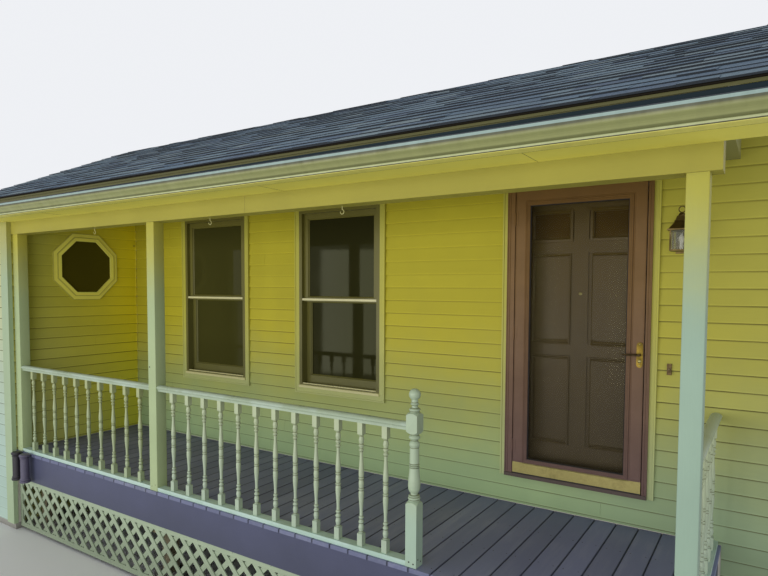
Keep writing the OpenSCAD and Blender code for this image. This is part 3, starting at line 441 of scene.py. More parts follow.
foot_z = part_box("window_wall")[0][2]
# Painted light: the paint is yellow up under the roof and paler low down; toward the right end it takes other
# colours and a stronger painted shade line.
wall_paint = painted_wood("yellow_clapboard_paint", WALL_GOLD, WALL_PALE, deck_top, deck_top + 1.3, 0,
                          dust=(0.85, 0.12, 0.4), sheen=0.2, aside=("X", 1.6, 3.1, "#aea845", "#8a9d7c"))
make_piece("main_clapboards", (
    clad(on_front, left_x + CORNER_CLEAR, door_low[0], over_deck, ceiling_low[2], window_holes, 3)
    + clad(on_front, door_low[0], door_high[0], over_deck, door_low[2], (), 4)
    + clad(on_front, door_high[0], panel_low[0], over_deck, ceiling_low[2], (), 5)
    + clad(on_front, panel_low[0], panel_high[0], over_deck, panel_low[2], (), 6)
    + clad(on_front, panel_high[0], wall_end_x, over_deck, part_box("end_wall")[1][2] - 0.012, (), 7)
    + clad(on_front, rim_x + CORNER_CLEAR, wall_end_x, foot_z, over_deck, (), 8)
    + clad(on_front, left_x + CORNER_CLEAR, rim_x, foot_z, under_deck, (), 9)
), wall_paint)
octagon_low, octagon_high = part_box("octagon_casing")
_, oct_y, oct_z = centre("octagon_casing")
oct_r = (octagon_high[1] - octagon_low[1]) / 2 / math.cos(math.pi / 8)
octagon_hole = [(oct_y + oct_r * math.cos(math.radians(22.5 + 45 * i)),
                 oct_z + oct_r * math.sin(math.radians(22.5 + 45 * i))) for i in range(8)]
# Painted light: the return wall has a brighter copy of the wall paint, yellowest toward the main wall.
return_paint = painted_wood("yellow_return_paint", "#b4b04a", "#aeb06c", deck_top - 0.1, deck_top + 1.6, 1,
                            dust=(0.8, 0.2, 0.0), sheen=0.2, aside=("Y", -1.1, -0.15, "#e0cf22", "#c6c63e"))
make_piece("return_clapboards", (
    clad(on_return, beam_high[1], face_y, over_deck, ceiling_low[2], [octagon_hole], 11)
    + clad(on_return, corner_high[1] + 0.001, beam_high[1], over_deck, beam_low[2] - 0.001, (), 12)
    + clad(on_return, RETURN_FRONT_Y, face_y - CORNER_CLEAR, foot_z, under_deck, (), 13)
), return_paint)
soffit_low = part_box("soffit")[0]
# Painted light: the wing, outside the porch roof, has a paler and cooler copy of the wall paint, with the
# painted shade line at full share.
wing_paint = painted_wood("yellow_wing_paint", "#bcb878", "#a2b7ab", 0.6, 3.2, 0, dust=(1.0, 1.0), sheen=0.2)
make_piece("wing_clapboards", clad(
    on_wing, wing_low[0], corner_low[0], foot_z, soffit_low[2] - 0.001, (), 14), wing_paint)


# Trim: the corner board and the casings are primed pine with cream satin paint. Its colour is
# painted yellow up under the roof, for the light that the boards round it throw back, and cool
# lower down: painted light. The octagon's casing has a brighter copy of the paint, painted light,
# and dark lines of painted shade along the edges of its two steps.
TRIM_WARM, TRIM_COOL = "#b6b044", "#a9b585"
CASING_STEPS, SHADE_LINE_HALF = (0.002, 0.042), 0.004


def mitred(x0, x1, z0, z1, y, profile, closed=True):
    """A frame round an opening in a front wall. The profile's points are (width outward from the
    opening's edge, height out of the plane y). An open frame has no foot."""
    corners, faces = [], []
    for wide, out in profile:
        foot = z0 - wide if closed else z0
        corners += [(x0 - wide, y - out, foot), (x0 - wide, y - out, z1 + wide),
                    (x1 + wide, y - out, z1 + wide), (x1 + wide, y - out, foot)]
    count = len(profile)
    for i in range(count):
        here, there = 4 * i, 4 * ((i + 1) % count)
        for a, b in ((0, 1), (1, 2), (2, 3), (3, 0))[:4 if closed else 3]:
            faces.append((here + a, here + b, there + b, there + a))
    if not closed:
        faces += [tuple(4 * i for i in range(count)), tuple(4 * i + 3 for i in range(count))]
    return corners, faces


def box_part(low, high):
    """A block between two opposite corners."""
    return [(x, y, z) for z in (low[2], high[2]) for x, y in (
        (low[0], low[1]), (high[0], low[1]), (high[0], high[1]), (low[0], high[1]))], HEX_FACES


trim_paint = painted_wood(
    "cream_casing_paint", TRIM_WARM, TRIM_COOL, deck_top, deck_top + 1.5, 2, 0.42, sheen=0.25)
# The octagon's casing paint is a brighter copy of the trim paint: painted light.
octagon_paint = painted_wood("octagon_casing_paint", "#ede566", "#e8e06c", deck_top, deck_top + 2.2, 2, 0.42)
tree = octagon_paint.node_tree
shader = next(n for n in tree.nodes if n.type == "BSDF_PRINCIPLED")
parts = add(tree, "SeparateXYZ", Vector=add(tree, "TexCoord", out="Object")).node.outputs
aside_y, aside_z = (add(tree, "Math", "ABSOLUTE", n0=add(
    tree, "Math", "SUBTRACT", n0=parts[axis], n1=centre))
    for axis, centre in (("Y", oct_y), ("Z", oct_z)))
flat = add(tree, "Math", "MAXIMUM", n0=aside_y, n1=aside_z)
slant = add(tree, "Math", "MULTIPLY", n0=add(
    tree, "Math", "ADD", n0=aside_y, n1=aside_z), n1=math.sqrt(0.5))
flat = add(tree, "Math", "MAXIMUM", n0=flat, n1=slant)
# Painted shade: dark lines along the edges of the casing's two steps.
darkening = 0.0
for step_in in CASING_STEPS:
    line = add(tree, "Math", "COMPARE", n0=flat, n1=octagon_high[1] - oct_y - step_in, n2=SHADE_LINE_HALF)
    darkening = add(tree, "Math", "MULTIPLY_ADD", n0=line, n1=0.45, n2=darkening)
tone = shader.inputs["Base Color"].links[0].from_socket
tone = add(tree, "Mix", COLOURS, 2, n0=darkening, n6=tone, n7=linear(SHADE_HEX))
tree.links.new(tone, shader.inputs["Base Color"])
finish("window_casings door_casing", trim_paint)
finish("corner_board", painted_wood(
    "cream_corner_paint", "#a7a45a", "#9aac8a", deck_top + 1.5, deck_top + 2.1, 2, 0.45))
finish("octagon_casing", octagon_paint)

# A thin band goes round each casing's outer edge and is nailed to it; the joint is caulked.
BAND_W, BAND_T = 0.012, 0.005
casing_y = casing_low[1]
BAND_FORM = [(0, 0), (0.002, BAND_T), (BAND_W, BAND_T), (BAND_W, 0)]
bands = [mitred(hole[0][0] + BAND_W, hole[1][0] - BAND_W, hole[0][1] + BAND_W, hole[2][1] - BAND_W,
                casing_y, BAND_FORM) for hole in window_holes]
bands.append(mitred(door_low[0] + BAND_W, door_high[0] - BAND_W, door_low[2], door_high[2] - BAND_W,
                    casing_y, BAND_FORM, closed=False))
make_piece("casing_bands", bands, trim_paint)


# Windows: double-hung pine sashes in box frames, in olive-brown oil paint, with slim almond
# storm windows screwed to the frame in front. A sloped sill sheds the rain.
OLIVE_HEX, ALMOND_HEX = "#6e682c", "#d6d09a"
CASING_W, FRAME_W, SASH_W = 0.050, 0.032, 0.045
sash_paint = painted_wood("olive_sash_paint", OLIVE_HEX, "#646132", deck_top + 0.6, deck_top + 2.2, 2, 0.38,
                          sheen=0.25)
finish("window_frames window_sashes", sash_paint)


def enamel(name, hex_text, roughness, specks=0.0, lower=None, gloss=0.5):
    """Baked enamel on sheet aluminium: even and smooth, with a faint orange peel and dust. Where
    a lower colour is given, the enamel has faded to it near the deck."""
    made, tree, place = new_material(name)
    tone = add(tree, "MapRange", Value=add(tree, "SeparateXYZ", out="Z", Vector=place),
               From_Min=deck_top + 0.3, From_Max=deck_top + 1.6)
    tone = add(tree, "Mix", COLOURS, 2, n0=tone, n6=linear(lower or hex_text), n7=linear(hex_text))
    dust = add(tree, "TexNoise", Vector=place, Scale=7.0, Detail=6.0, Roughness=0.65)
    tone = mottle(tree, tone, dust, From_Min=0.3, From_Max=0.75, To_Min=1.04, To_Max=0.9 - specks)
    peel = add(tree, "TexNoise", Vector=place, Scale=420.0, Detail=1.0)
    bump = add(tree, "Bump", Strength=0.06, Distance=0.0005, Height=peel)
    rough = add(tree, "MapRange", Value=dust, To_Min=roughness - 0.05, To_Max=roughness + 0.12)
    shader = add(tree, "BsdfPrincipled", Base_Color=tone, Roughness=rough, Normal=bump,
                 Specular_IOR_Level=gloss)
    add(tree, "OutputMaterial", Surface=shader)
    return made


def clear_pane(name, tint, alpha, haze=0.03, gleam="#ffffff"):
    """Float glass: gloss from both faces in the colour gleam, and as much of its dark tint as
    alpha says. A pane before a dark room has alpha 1, and its tint is painted shade for the room."""
    made, tree, place = new_material(name)
    smear = add(tree, "TexNoise", Vector=place, Scale=5.0, Detail=5.0, Roughness=0.6)
    rough = add(tree, "MapRange", Value=smear, From_Min=0.35, From_Max=0.8, To_Min=haze, To_Max=haze + 0.05)
    shader = add(tree, "BsdfPrincipled", Base_Color=linear(tint), Roughness=rough, IOR=1.35, Alpha=alpha,
                 Specular_Tint=linear(gleam))
    add(tree, "OutputMaterial", Surface=shader)
    return made


# The panes are opaque, and their dark tints are painted shade for the dark rooms behind them.
# The rooms behind the three windows differ in depth, and so does the tint of their panes: the
# octagon's in the return wall, then the left and the right window's, from left to right.
OCTAGON_TINT = "#4a4410"
room_glass = clear_pane("dark_room_glass", OCTAGON_TINT, 1.0, gleam="#84875a")
finish("window_glass", room_glass)
tree = room_glass.node_tree
shader = next(n for n in tree.nodes if n.type == "BSDF_PRINCIPLED")
across = add(tree, "SeparateXYZ", out="X", Vector=add(tree, "TexCoord", out="Object"))
tone = linear(OCTAGON_TINT)
between = (window_holes[0][1][0] + window_holes[1][0][0]) / 2
for edge, hex_text in ((left_x + 0.1, "#413f1c"), (between, "#2b2a14")):
    beyond = add(tree, "Math", "GREATER_THAN", n0=across, n1=edge)
    tone = add(tree, "Mix", COLOURS, 2, n0=beyond, n6=tone, n7=linear(hex_text))
tree.links.new(tone, shader.inputs["Base Color"])
meeting_z = (casing_low[2] + casing_high[2]) / 2
STORM_FORM = [(0, 0.002), (0, 0.012), (0.004, 0.016), (0.014, 0.016), (0.016, 0.012), (0.016, 0.002)]
BEAD_FORM = [(-0.011, 0), (0, 0.011), (0, -0.003), (-0.011, -0.003)]
STORM_IN, STORM_FOOT, BAR_IN, BAR_OUT, BAR_HALF = 0.020, 0.040, 0.018, 0.018, 0.009
SILL_OUT, SILL_BACK, SILL_T, SILL_RISE = 0.032, 0.008, 0.020, 0.016
# Where each sash's pane starts and ends, and how far behind the wall's face it lies
MEETING_HALF, SASH_FOOT, LOWER_DEEP, UPPER_DEEP = 0.019, 0.105, 0.060, 0.024
# A sash lock's plate and cam: their corners, from the middle of the meeting rails at the wall's face
LOCK_BLOCKS = (((-0.030, 0.046, 0.019), (0.030, 0.078, 0.025)),
               ((-0.008, 0.040, 0.025), (0.022, 0.066, 0.034)))
storm_back = face_y + 0.001
storms, sills, beads, locks = [], [], [], []
for hole in window_holes:
    x0, x1 = hole[0][0] + CASING_W, hole[1][0] - CASING_W
    z0, z1 = hole[0][1] + CASING_W, hole[2][1] - CASING_W
    storms.append(mitred(
        x0 + STORM_IN, x1 - STORM_IN, z0 + STORM_FOOT, z1 - STORM_IN, storm_back, STORM_FORM))
    storms.append(box_part((x0 + BAR_IN, face_y - BAR_OUT, meeting_z - BAR_HALF),
                           (x1 - BAR_IN, storm_back, meeting_z + BAR_HALF)))
    sill_front, sill_back, sill_top = face_y - SILL_OUT, face_y + SILL_BACK, z0 + SILL_T
    sills.append(([(x, y, z) for low_z, rise in ((z0, 0), (sill_top, SILL_RISE)) for x, y, z in (
        (x0, sill_front, low_z), (x1, sill_front, low_z),
        (x1, sill_back, low_z + rise), (x0, sill_back, low_z + rise))], HEX_FACES))
    for foot, head, deep in ((z0 + SASH_FOOT, meeting_z - MEETING_HALF, LOWER_DEEP),
                             (meeting_z + MEETING_HALF, z1 - FRAME_W - SASH_W, UPPER_DEEP)):
        beads.append(mitred(
            x0 + FRAME_W + SASH_W, x1 - FRAME_W - SASH_W, foot, head, face_y + deep, BEAD_FORM))
    locks += [box_part(*[((x0 + x1) / 2 + x, face_y + y, meeting_z + z) for x, y, z in block])
              for block in LOCK_BLOCKS]
sill_paint = painted_wood("sill_paint", "#c9c48c", "#c9c48c", 1, 2, 0, 0.4, 0.05)
for name, parts, material, slot in (
    ("storm_windows", storms, enamel("almond_enamel", ALMOND_HEX, 0.35), "gutter_metal"),
    ("window_sills", sills, sill_paint, "cream_paint"),
    ("glazing_beads", beads, sash_paint, "olive_paint"),
    ("sash_locks", locks, enamel("lock_bronze", "#6b5a34", 0.35), "brass"),
):
    make_piece(name, parts, material)


# Door frame and storm door: hollow aluminium extrusions in dusty mauve enamel. Ridges were drawn
# into the metal round the doorway and round the long pane, and screws hold the frame.
MAUVE_HEX, MAUVE_FADED = "#785829", "#6b544e"
mauve = enamel("mauve_enamel", MAUVE_HEX, 0.38, 0.05, MAUVE_FADED, 0.2)
finish("door_frame storm_door", mauve)
DOOR_CASING_W, SILL_OVER = 0.040, 0.025
way_x0, way_x1 = door_low[0] + DOOR_CASING_W, door_high[0] - DOOR_CASING_W
way_top, sill_z = door_high[2] - DOOR_CASING_W, door_low[2] + SILL_OVER
leaf_low, leaf_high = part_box("kick_strip")
pane_low, pane_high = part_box("storm_glass")
storm_y = leaf_high[1]


def ridge(at, wide, high):
    """The outline of one rounded ridge that starts at a distance from the opening's edge."""
    return [(at, -0.001), (at, high * 0.6), (at + wide * 0.3, high), (at + wide * 0.7, high),
            (at + wide, high * 0.6), (at + wide, -0.001)]


RIDGE_IN = 0.020
frame_ridges = [mitred(way_x0 + RIDGE_IN, way_x1 - RIDGE_IN, sill_z, way_top - RIDGE_IN, storm_y,
                       ridge(at, 0.006, 0.004), closed=False) for at in (-0.003, 0.012)]
frame_ridges.append(mitred(way_x0, way_x1, sill_z, way_top, storm_y, [
    (-0.004, 0), (-0.004, 0.006), (0.0, 0.006), (0.0, 0)], closed=False))
make_piece("frame_ridges", frame_ridges, mauve)
leaf_ridges = [
    mitred(pane_low[0], pane_high[0], pane_low[2], pane_high[2], storm_y - 0.006, ridge(at, wide, high))
    for at, wide, high in ((0.0005, 0.005, 0.003), (0.0095, 0.005, 0.003), (0.019, 0.006, 0.004))
]
leaf_ridges.append(mitred(
    pane_low[0], pane_high[0], pane_low[2], pane_high[2], storm_y, ridge(0.029, 0.007, 0.003)))
leaf_ridges.append(mitred(leaf_low[0] + 0.006, leaf_high[0] - 0.006, leaf_high[2] + 0.010, way_top - 0.043,
                          storm_y, ridge(0.0, 0.004, 0.002)))
make_piece("storm_door_ridges", leaf_ridges, mauve, body="storm_door")

# A vinyl gasket holds the pane, and a black rubber sweep closes the gap over the sill.
rubber, tree, place = new_material("black_vinyl")
rub = add(tree, "TexNoise", Vector=place, Scale=300.0, Detail=2.0)
bump = add(tree, "Bump", Strength=0.2, Distance=0.0004, Height=rub)
shader = add(tree, "BsdfPrincipled", Base_Color=linear("#15140f"), Roughness=0.6, Normal=bump)
add(tree, "OutputMaterial", Surface=shader)
make_piece("storm_door_seals", [
    mitred(pane_low[0], pane_high[0], pane_low[2], pane_high[2], storm_y,
           [(-0.006, -0.012), (-0.006, -0.002), (-0.002, 0.001), (0.0, 0.001), (0.0, -0.012)]),
    box_part((leaf_low[0] + 0.002, storm_y - 0.004, leaf_low[2] - 0.005),
             (leaf_high[0] - 0.002, storm_y + 0.004, leaf_low[2] + 0.001)),
], rubber, body="storm_door")
finish("storm_glass", clear_pane("storm_pane", "#3a3526", 0.16, 0.02, "#8f8a60"))


# Brass: the strip at the storm door's foot, the lever's plate and the entry knob are cold-rolled
# or cast brass, polished and lacquered, and gone dull and brown in patches. The lever and the
# bell push are oiled bronze.
def old_brass(name, bright, dull, roughness):
    made, tree, place = new_material(name)
    patch = add(tree, "TexNoise", Vector=place, Scale=9.0, Detail=6.0, Roughness=0.7)
    worn = add(tree, "MapRange", Value=patch, From_Min=0.42, From_Max=0.68)
    tone = add(tree, "Mix", COLOURS, 2, n0=worn, n6=linear(bright), n7=linear(dull))
    rough = add(tree, "MapRange", Value=worn, To_Min=roughness, To_Max=roughness + 0.22)
    shader = add(tree, "BsdfPrincipled", Base_Color=tone, Roughness=rough, Metallic=1.0)
    add(tree, "OutputMaterial", Surface=shader)
    return made


brass = old_brass("lacquered_brass", "#a59a62", "#8a8153", 0.36)
finish("kick_strip", brass)
# Hands have darkened the plate and the knob to a deep golden brown.
finish("lever_plate entry_knob", old_brass("handled_brass", "#7a6529", "#5b4c1f", 0.34))
finish("storm_lever bell_push", old_brass("oiled_bronze", "#5a4a30", "#352c20", 0.34))


def stud(place, normal, radius, high, sides=12):
    """A low round head that stands on a face: a screw, a nail or a small cap."""
    normal = Vector(normal).normalized()
    across = normal.orthogonal().normalized()
    other = normal.cross(across)
    corners, faces = [], []
    for share, level in ((1.0, 0.0), (1.0, 0.45), (0.62, 0.9)):
        for i in range(sides):
            angle = 2 * math.pi * i / sides
            away = (across * math.cos(angle) + other * math.sin(angle)) * radius * share
            corners.append(tuple(Vector(place) + away + normal * high * level))
    for i in range(2 * sides):
        j = i - sides + 1 if (i + 1) % sides == 0 else i + 1
        faces.append((i, j, j + sides, i + sides))
    corners.append(tuple(Vector(place) + normal * high))
    faces += [(2 * sides + i, 2 * sides + (i + 1) % sides, 3 * sides) for i in range(sides)]
    return corners, faces


FRONT, RIGHT, UP = (0, -1, 0), (1, 0, 0), (0, 0, 1)
plate_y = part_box("lever_plate")[0][1]
plate_x, _, plate_z = centre("lever_plate")
# Over and under the plate's middle: its two screws, and the lock's cylinder
PLATE_SCREWS, CYLINDER_DOWN = (-0.067, 0.067), 0.040
strip_screws = [stud((x, leaf_low[1], z), FRONT, 0.0035, 0.0015)
                for x in (leaf_low[0] + 0.02, centre("kick_strip")[0], leaf_high[0] - 0.02)
                for z in (leaf_low[2] + 0.012, leaf_high[2] - 0.012)]
strip_screws += [stud((plate_x, plate_y, plate_z + dz), FRONT, 0.004, 0.002) for dz in PLATE_SCREWS]
strip_screws.append(stud((plate_x, plate_y, plate_z - CYLINDER_DOWN), FRONT, 0.011, 0.006, 24))
make_piece("storm_door_screws", strip_screws, brass, smooth=True, body="storm_door")


# Entry door: four raised panels under two small glazed lites in a pine frame, in brown gloss
# paint behind the storm door. Each panel and lite has a planted moulding.
ENTRY_HEX = "#66521c"
entry_paint = painted_wood("brown_entry_paint", ENTRY_HEX, "#5c503a", sill_z, sill_z + 1.9, 2, 0.34,
                           sheen=0.25)
finish("entry_door", entry_paint)
# The entry lites are opaque: their dark tint is painted shade for the dark hall behind them.
finish("entry_glass", clear_pane("entry_lites", "#57421a", 1.0, 0.08, "#d8c890"))
lite_low, lite_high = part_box("entry_glass")
entry_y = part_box("entry_knob")[1][1]
LITE_W, PANEL_H, FIELD_IN, LEAF_GAP, PEEPHOLE_UP = 0.266, 0.620, 0.028, 0.006, 1.28
# The panels' feet, over the foot of the leaf
PANEL_FEET = (0.215, 0.925)
LITE_FORM = [(-0.010, -0.012), (-0.010, -0.002), (0, 0.006), (0.016, 0.004), (0.018, 0), (0, -0.012)]
PANEL_FORM = [(-0.012, -0.008), (-0.008, -0.001), (-0.002, 0.004), (0.004, 0.003), (0.006, 0), (0, -0.008)]
FIELD_FORM = [(0, 0), (0.014, -0.0075), (0, -0.0075)]
frames = []
for x in (lite_low[0], lite_high[0] - LITE_W):
    frames.append(mitred(x, x + LITE_W, lite_low[2], lite_high[2], entry_y, LITE_FORM))
    for foot in PANEL_FEET:
        z = sill_z + LEAF_GAP + foot
        frames.append(mitred(x, x + LITE_W, z, z + PANEL_H, entry_y, PANEL_FORM))
        frames.append(mitred(x + FIELD_IN, x + LITE_W - FIELD_IN, z + FIELD_IN, z + PANEL_H - FIELD_IN,
                             entry_y, FIELD_FORM))
make_piece("entry_door_mouldings", frames, entry_paint, body="entry_door")
peephole = stud((centre("entry_glass")[0], entry_y, sill_z + PEEPHOLE_UP), FRONT, 0.012, 0.006, 24)
make_piece("entry_peephole", [peephole], brass, smooth=True, body="entry_door")
finish("door_sill", enamel("sill_bronze_enamel", "#4a3c33", 0.45, 0.1))


# Lantern: a coach lantern of thin brass sheet, soldered and blackened, with four clear panes
# and one small bulb on a white sleeve.
finish("lantern", old_brass("blackened_brass", "#6d5c38", "#2b2418", 0.42))
finish("lantern_glass", clear_pane("lantern_panes", "#8e8f78", 0.16, 0.03))
cage_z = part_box("lantern_glass")[0][2]
cage_x, cage_y, _ = centre("lantern_glass")


def skin(rings):
    """A closed form through rings of equally many points, flat at both ends."""
    count = len(rings[0])
    faces = [(ring * count + i, ring * count + (i + 1) % count,
              (ring + 1) * count + (i + 1) % count, (ring + 1) * count + i)
             for ring in range(len(rings) - 1) for i in range(count)]
    faces += [tuple(range(count)), tuple(range((len(rings) - 1) * count, len(rings) * count))]
    return [point for ring in rings for point in ring], faces


def lathe(x, y, z, profile, sides=24):
    """A turned form round an upright line: the profile's points are (radius, height)."""
    turns = [2 * math.pi * i / sides for i in range(sides)]
    return skin([[(x + radius * math.cos(a), y + radius * math.sin(a), z + up) for a in turns]
                 for radius, up in profile])


def plain_plastic(name, hex_text, roughness):
    """Moulded plastic or opal glass, with a trace of dust."""
    made, tree, place = new_material(name)
    dust = add(tree, "TexNoise", Vector=place, Scale=60.0, Detail=3.0)
    tone = mottle(tree, linear(hex_text), dust, To_Min=1.03, To_Max=0.94)
    shader = add(tree, "BsdfPrincipled", Base_Color=tone, Roughness=roughness)
    add(tree, "OutputMaterial", Surface=shader)
    return made


opal = plain_plastic("opal_bulb", "#e8e4cf", 0.25)
make_piece("lantern_bulb", [
    lathe(cage_x, cage_y, cage_z - 0.0003, [(0.011, 0), (0.011, 0.036), (0.009, 0.038)]),
    lathe(cage_x, cage_y, cage_z + 0.037, [
        (0.008, 0), (0.015, 0.012), (0.0165, 0.024), (0.012, 0.040), (0.004, 0.054), (0.001, 0.057)]),
], opal, smooth=True)
bell_x, _, bell_z = centre("bell_push")
make_piece("bell_button", [stud((bell_x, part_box("bell_push")[0][1], bell_z), FRONT, 0.0045, 0.002, 20)],
           plain_plastic("amber_button", "#6b5a38", 0.3), smooth=True)


# Deck: fir boards, 5 1/4 inches wide, laid from the house to the front edge with open joints for
# the rain. They carry grey-purple porch enamel, brushed on thick and worn pale on the walkway.
BOARD_PITCH, BOARD_GAP, LEAST_BOARD, EASE = 0.138, 0.005, 0.03, 0.003
FIRST_SEAM = 1.1745
DECK_UPPER, DECK_WORN = "#737899", "#9094aa"


def eased_board(low, high, along, ease):
    """A sawn board with rounded upper edges and ends. The axis along is 0 or 1."""
    across = 1 - along
    u0, u1, z0, z1 = low[across], high[across], low[2], high[2]
    section = [(u0, z0), (u1, z0), (u1, z1 - ease), (u1 - ease * 0.3, z1 - ease * 0.3), (u1 - ease, z1),
               (u0 + ease, z1), (u0 + ease * 0.3, z1 - ease * 0.3), (u0, z1 - ease)]
    rings = []
    for place, drop in ((low[along], ease), (low[along] + ease * 0.3, ease * 0.3), (low[along] + ease, 0),
                        (high[along] - ease, 0), (high[along] - ease * 0.3, ease * 0.3), (high[along], ease)):
        levels = [(u, min(z, z1 - drop)) for u, z in section]
        rings.append([(place, u, z) if along == 0 else (u, place, z) for u, z in levels])
    return skin(rings)


def deck_enamel(name, upper, worn, along, amount, joint=None, nosing=None):
    """Thick floor enamel: each board a little different and scuffed pale in streaks. Boards with
    a joint at the given x are dirty along all joints and darker on their ends, before nosing."""
    made, tree, place = new_material(name)
    own = add(tree, "NewGeometry", out="Random Per Island")
    scale = [26.0] * 3
    scale[along] = 2.2
    long_way = add(tree, "Mapping", Vector=place, Scale=scale)
    scuff = add(tree, "TexNoise", Vector=long_way, Scale=1.0, Detail=7.0, Roughness=0.7)
    patch = add(tree, "TexNoise", Vector=place, Scale=1.3, Detail=3.0)
    both = add(tree, "Math", "MULTIPLY", n0=scuff, n1=patch)
    gone = add(tree, "MapRange", Value=both, From_Min=0.22, From_Max=0.42, To_Max=amount)
    tone = add(tree, "Mix", COLOURS, 2, n0=gone, n6=linear(upper), n7=linear(worn))
    tone = mottle(tree, tone, own, To_Min=0.86, To_Max=1.12)
    if joint:
        parts = add(tree, "SeparateXYZ", Vector=place).node.outputs
        value = add(tree, "MapRange", Value=parts["Y"],
                    From_Min=nosing, From_Max=nosing + 0.004, To_Min=0.72, To_Max=1.0)
        away = add(tree, "Math", "SUBTRACT", n0=parts["X"], n1=joint)
        away = add(tree, "Math", "PINGPONG", n0=away, n1=BOARD_PITCH / 2)
        darkening = add(tree, "MapRange", Value=away, From_Min=0.0045, From_Max=0.009, To_Min=0.5, To_Max=1.0)
        value = add(tree, "Math", "MULTIPLY", n0=value, n1=darkening)
        tone = add(tree, "HueSaturation", Color=tone, Value=value)
    grit = add(tree, "TexNoise", Vector=place, Scale=220.0, Detail=3.0)
    level = add(tree, "Math", "MULTIPLY_ADD", n0=grit, n1=0.4, n2=scuff)
    bump = add(tree, "Bump", Strength=0.35, Distance=0.0009, Height=level)
    rough = add(tree, "MapRange", Value=scuff, To_Min=0.42, To_Max=0.72)
    shader = add(tree, "BsdfPrincipled", Base_Color=tone, Roughness=rough, Normal=bump)
    add(tree, "OutputMaterial", Surface=shader)
    return made


deck_paint = deck_enamel("grey_purple_deck_enamel", DECK_UPPER, DECK_WORN, 1, 0.7,
                         FIRST_SEAM, deck_low[1] + 0.003)
boards, nails = [], []
chance = random.Random(21)
joist_low, joist_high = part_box("deck_joists")
JOIST_T, NAIL_IN = 0.038, 0.025
joists = [joist_low[1] + JOIST_T / 2 + i * (joist_high[1] - joist_low[1] - JOIST_T) / 3 for i in range(3)]
joists.append(face_y - 0.030)
seam = FIRST_SEAM - BOARD_PITCH * math.ceil((FIRST_SEAM - deck_low[0]) / BOARD_PITCH)
while seam < deck_high[0]:
    x0, x1 = max(seam + BOARD_GAP / 2, deck_low[0]), min(seam + BOARD_PITCH - BOARD_GAP / 2, deck_high[0])
    seam += BOARD_PITCH
    if x1 - x0 < LEAST_BOARD:
        continue
    dip_z = chance.uniform(0, 0.0012)
    boards.append(eased_board((x0, deck_low[1] + chance.uniform(0, 0.002), deck_low[2]),
                              (x1, deck_high[1] - 0.001, deck_high[2] - dip_z), 1, EASE))
    for y in joists:
        for x in (x0 + NAIL_IN, x1 - NAIL_IN):
            nails.append(stud((x + chance.uniform(-0.003, 0.003), y + chance.uniform(-0.006, 0.006),
                               deck_high[2] - dip_z - 0.0004), UP, 0.0042, 0.0012, 8))
make_piece("deck_boards", boards, deck_paint, replaces="deck_floor")
nail_enamel = deck_enamel("painted_nail_heads", "#3f4048", "#77604c", 1, 0.8)
make_piece("deck_nails", nails, nail_enamel)


# Fascia and risers: pine boards, nailed to the joists and stringers, in the same purple as the
# deck. Rain splashes dust on the foot. Two short round blocks stand by the corner: the first is
# coloured near black, which is painted shade, and the second purple.
fascia_paint = painted_wood("purple_fascia_paint", "#494c65", "#43465a", 0.45, 0.80, 0, 0.45, 0.02, "#8d8f98")
finish("deck_fascia", fascia_paint)
finish("risers", painted_wood("purple_riser_paint", "#62667c", "#54576a", 0.1, 0.6, 0, 0.5, 0.06, "#8d8f98"))
# The first block's near-black is painted shade; the second block shows the purple.
block_paint, tree, place = new_material("round_block_paint")
second = add(tree, "Math", "GREATER_THAN", n0=add(tree, "SeparateXYZ", out="X", Vector=place),
             n1=centre("fascia_blocks")[0])
tone = add(tree, "Mix", COLOURS, 2, n0=second, n6=linear("#26242a"), n7=linear("#504c60"))
wear = add(tree, "TexNoise", Vector=place, Scale=30.0, Detail=5.0, Roughness=0.65)
tone = mottle(tree, tone, wear, From_Min=0.3, From_Max=0.7, To_Min=0.88, To_Max=1.12)
bump = add(tree, "Bump", Strength=0.3, Distance=0.0008, Height=wear)
shader = add(tree, "BsdfPrincipled", Base_Color=tone, Roughness=0.42, Normal=bump)
add(tree, "OutputMaterial", Surface=shader)
finish("fascia_blocks", block_paint)
fascia_low, fascia_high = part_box("deck_fascia")
NAIL_PITCH = 0.4
nail_rows = (fascia_low[2] + 0.04, fascia_high[2] - 0.05)
fascia_nails = [stud((left_x + 0.3 + NAIL_PITCH * i, fascia_low[1], z), FRONT, 0.0045, 0.001, 8)
                for i in range(14) for z in nail_rows]
fascia_nails += [stud((fascia_high[0], y, z), RIGHT, 0.0045, 0.001, 8) for y in joists for z in nail_rows]
make_piece("fascia_nails", fascia_nails, fascia_paint, smooth=True)


# Lattice: thin cedar laths, crossed and stapled in two layers, with a lath round the edge. It is
# cream like the rails, duller where the ground has splashed it.
finish("front_lattice side_lattice", painted_wood(
    "cream_lattice_paint", "#98a68c", "#7c8871", 0.1, 0.5, 0, 0.6, 0.05, "#7d7461"))
lattice_low, lattice_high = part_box("front_lattice")
STAPLE_PITCH = 0.36
staples = [stud((lattice_low[0] + 0.02 + STAPLE_PITCH * i, lattice_low[1], z), FRONT, 0.0035, 0.001, 8)
           for i in range(13) for z in (lattice_low[2] + 0.012, lattice_high[2] - 0.012)]
make_piece("lattice_nails", staples, plain_plastic("galvanised_heads", "#6f716c", 0.45),
           smooth=True)


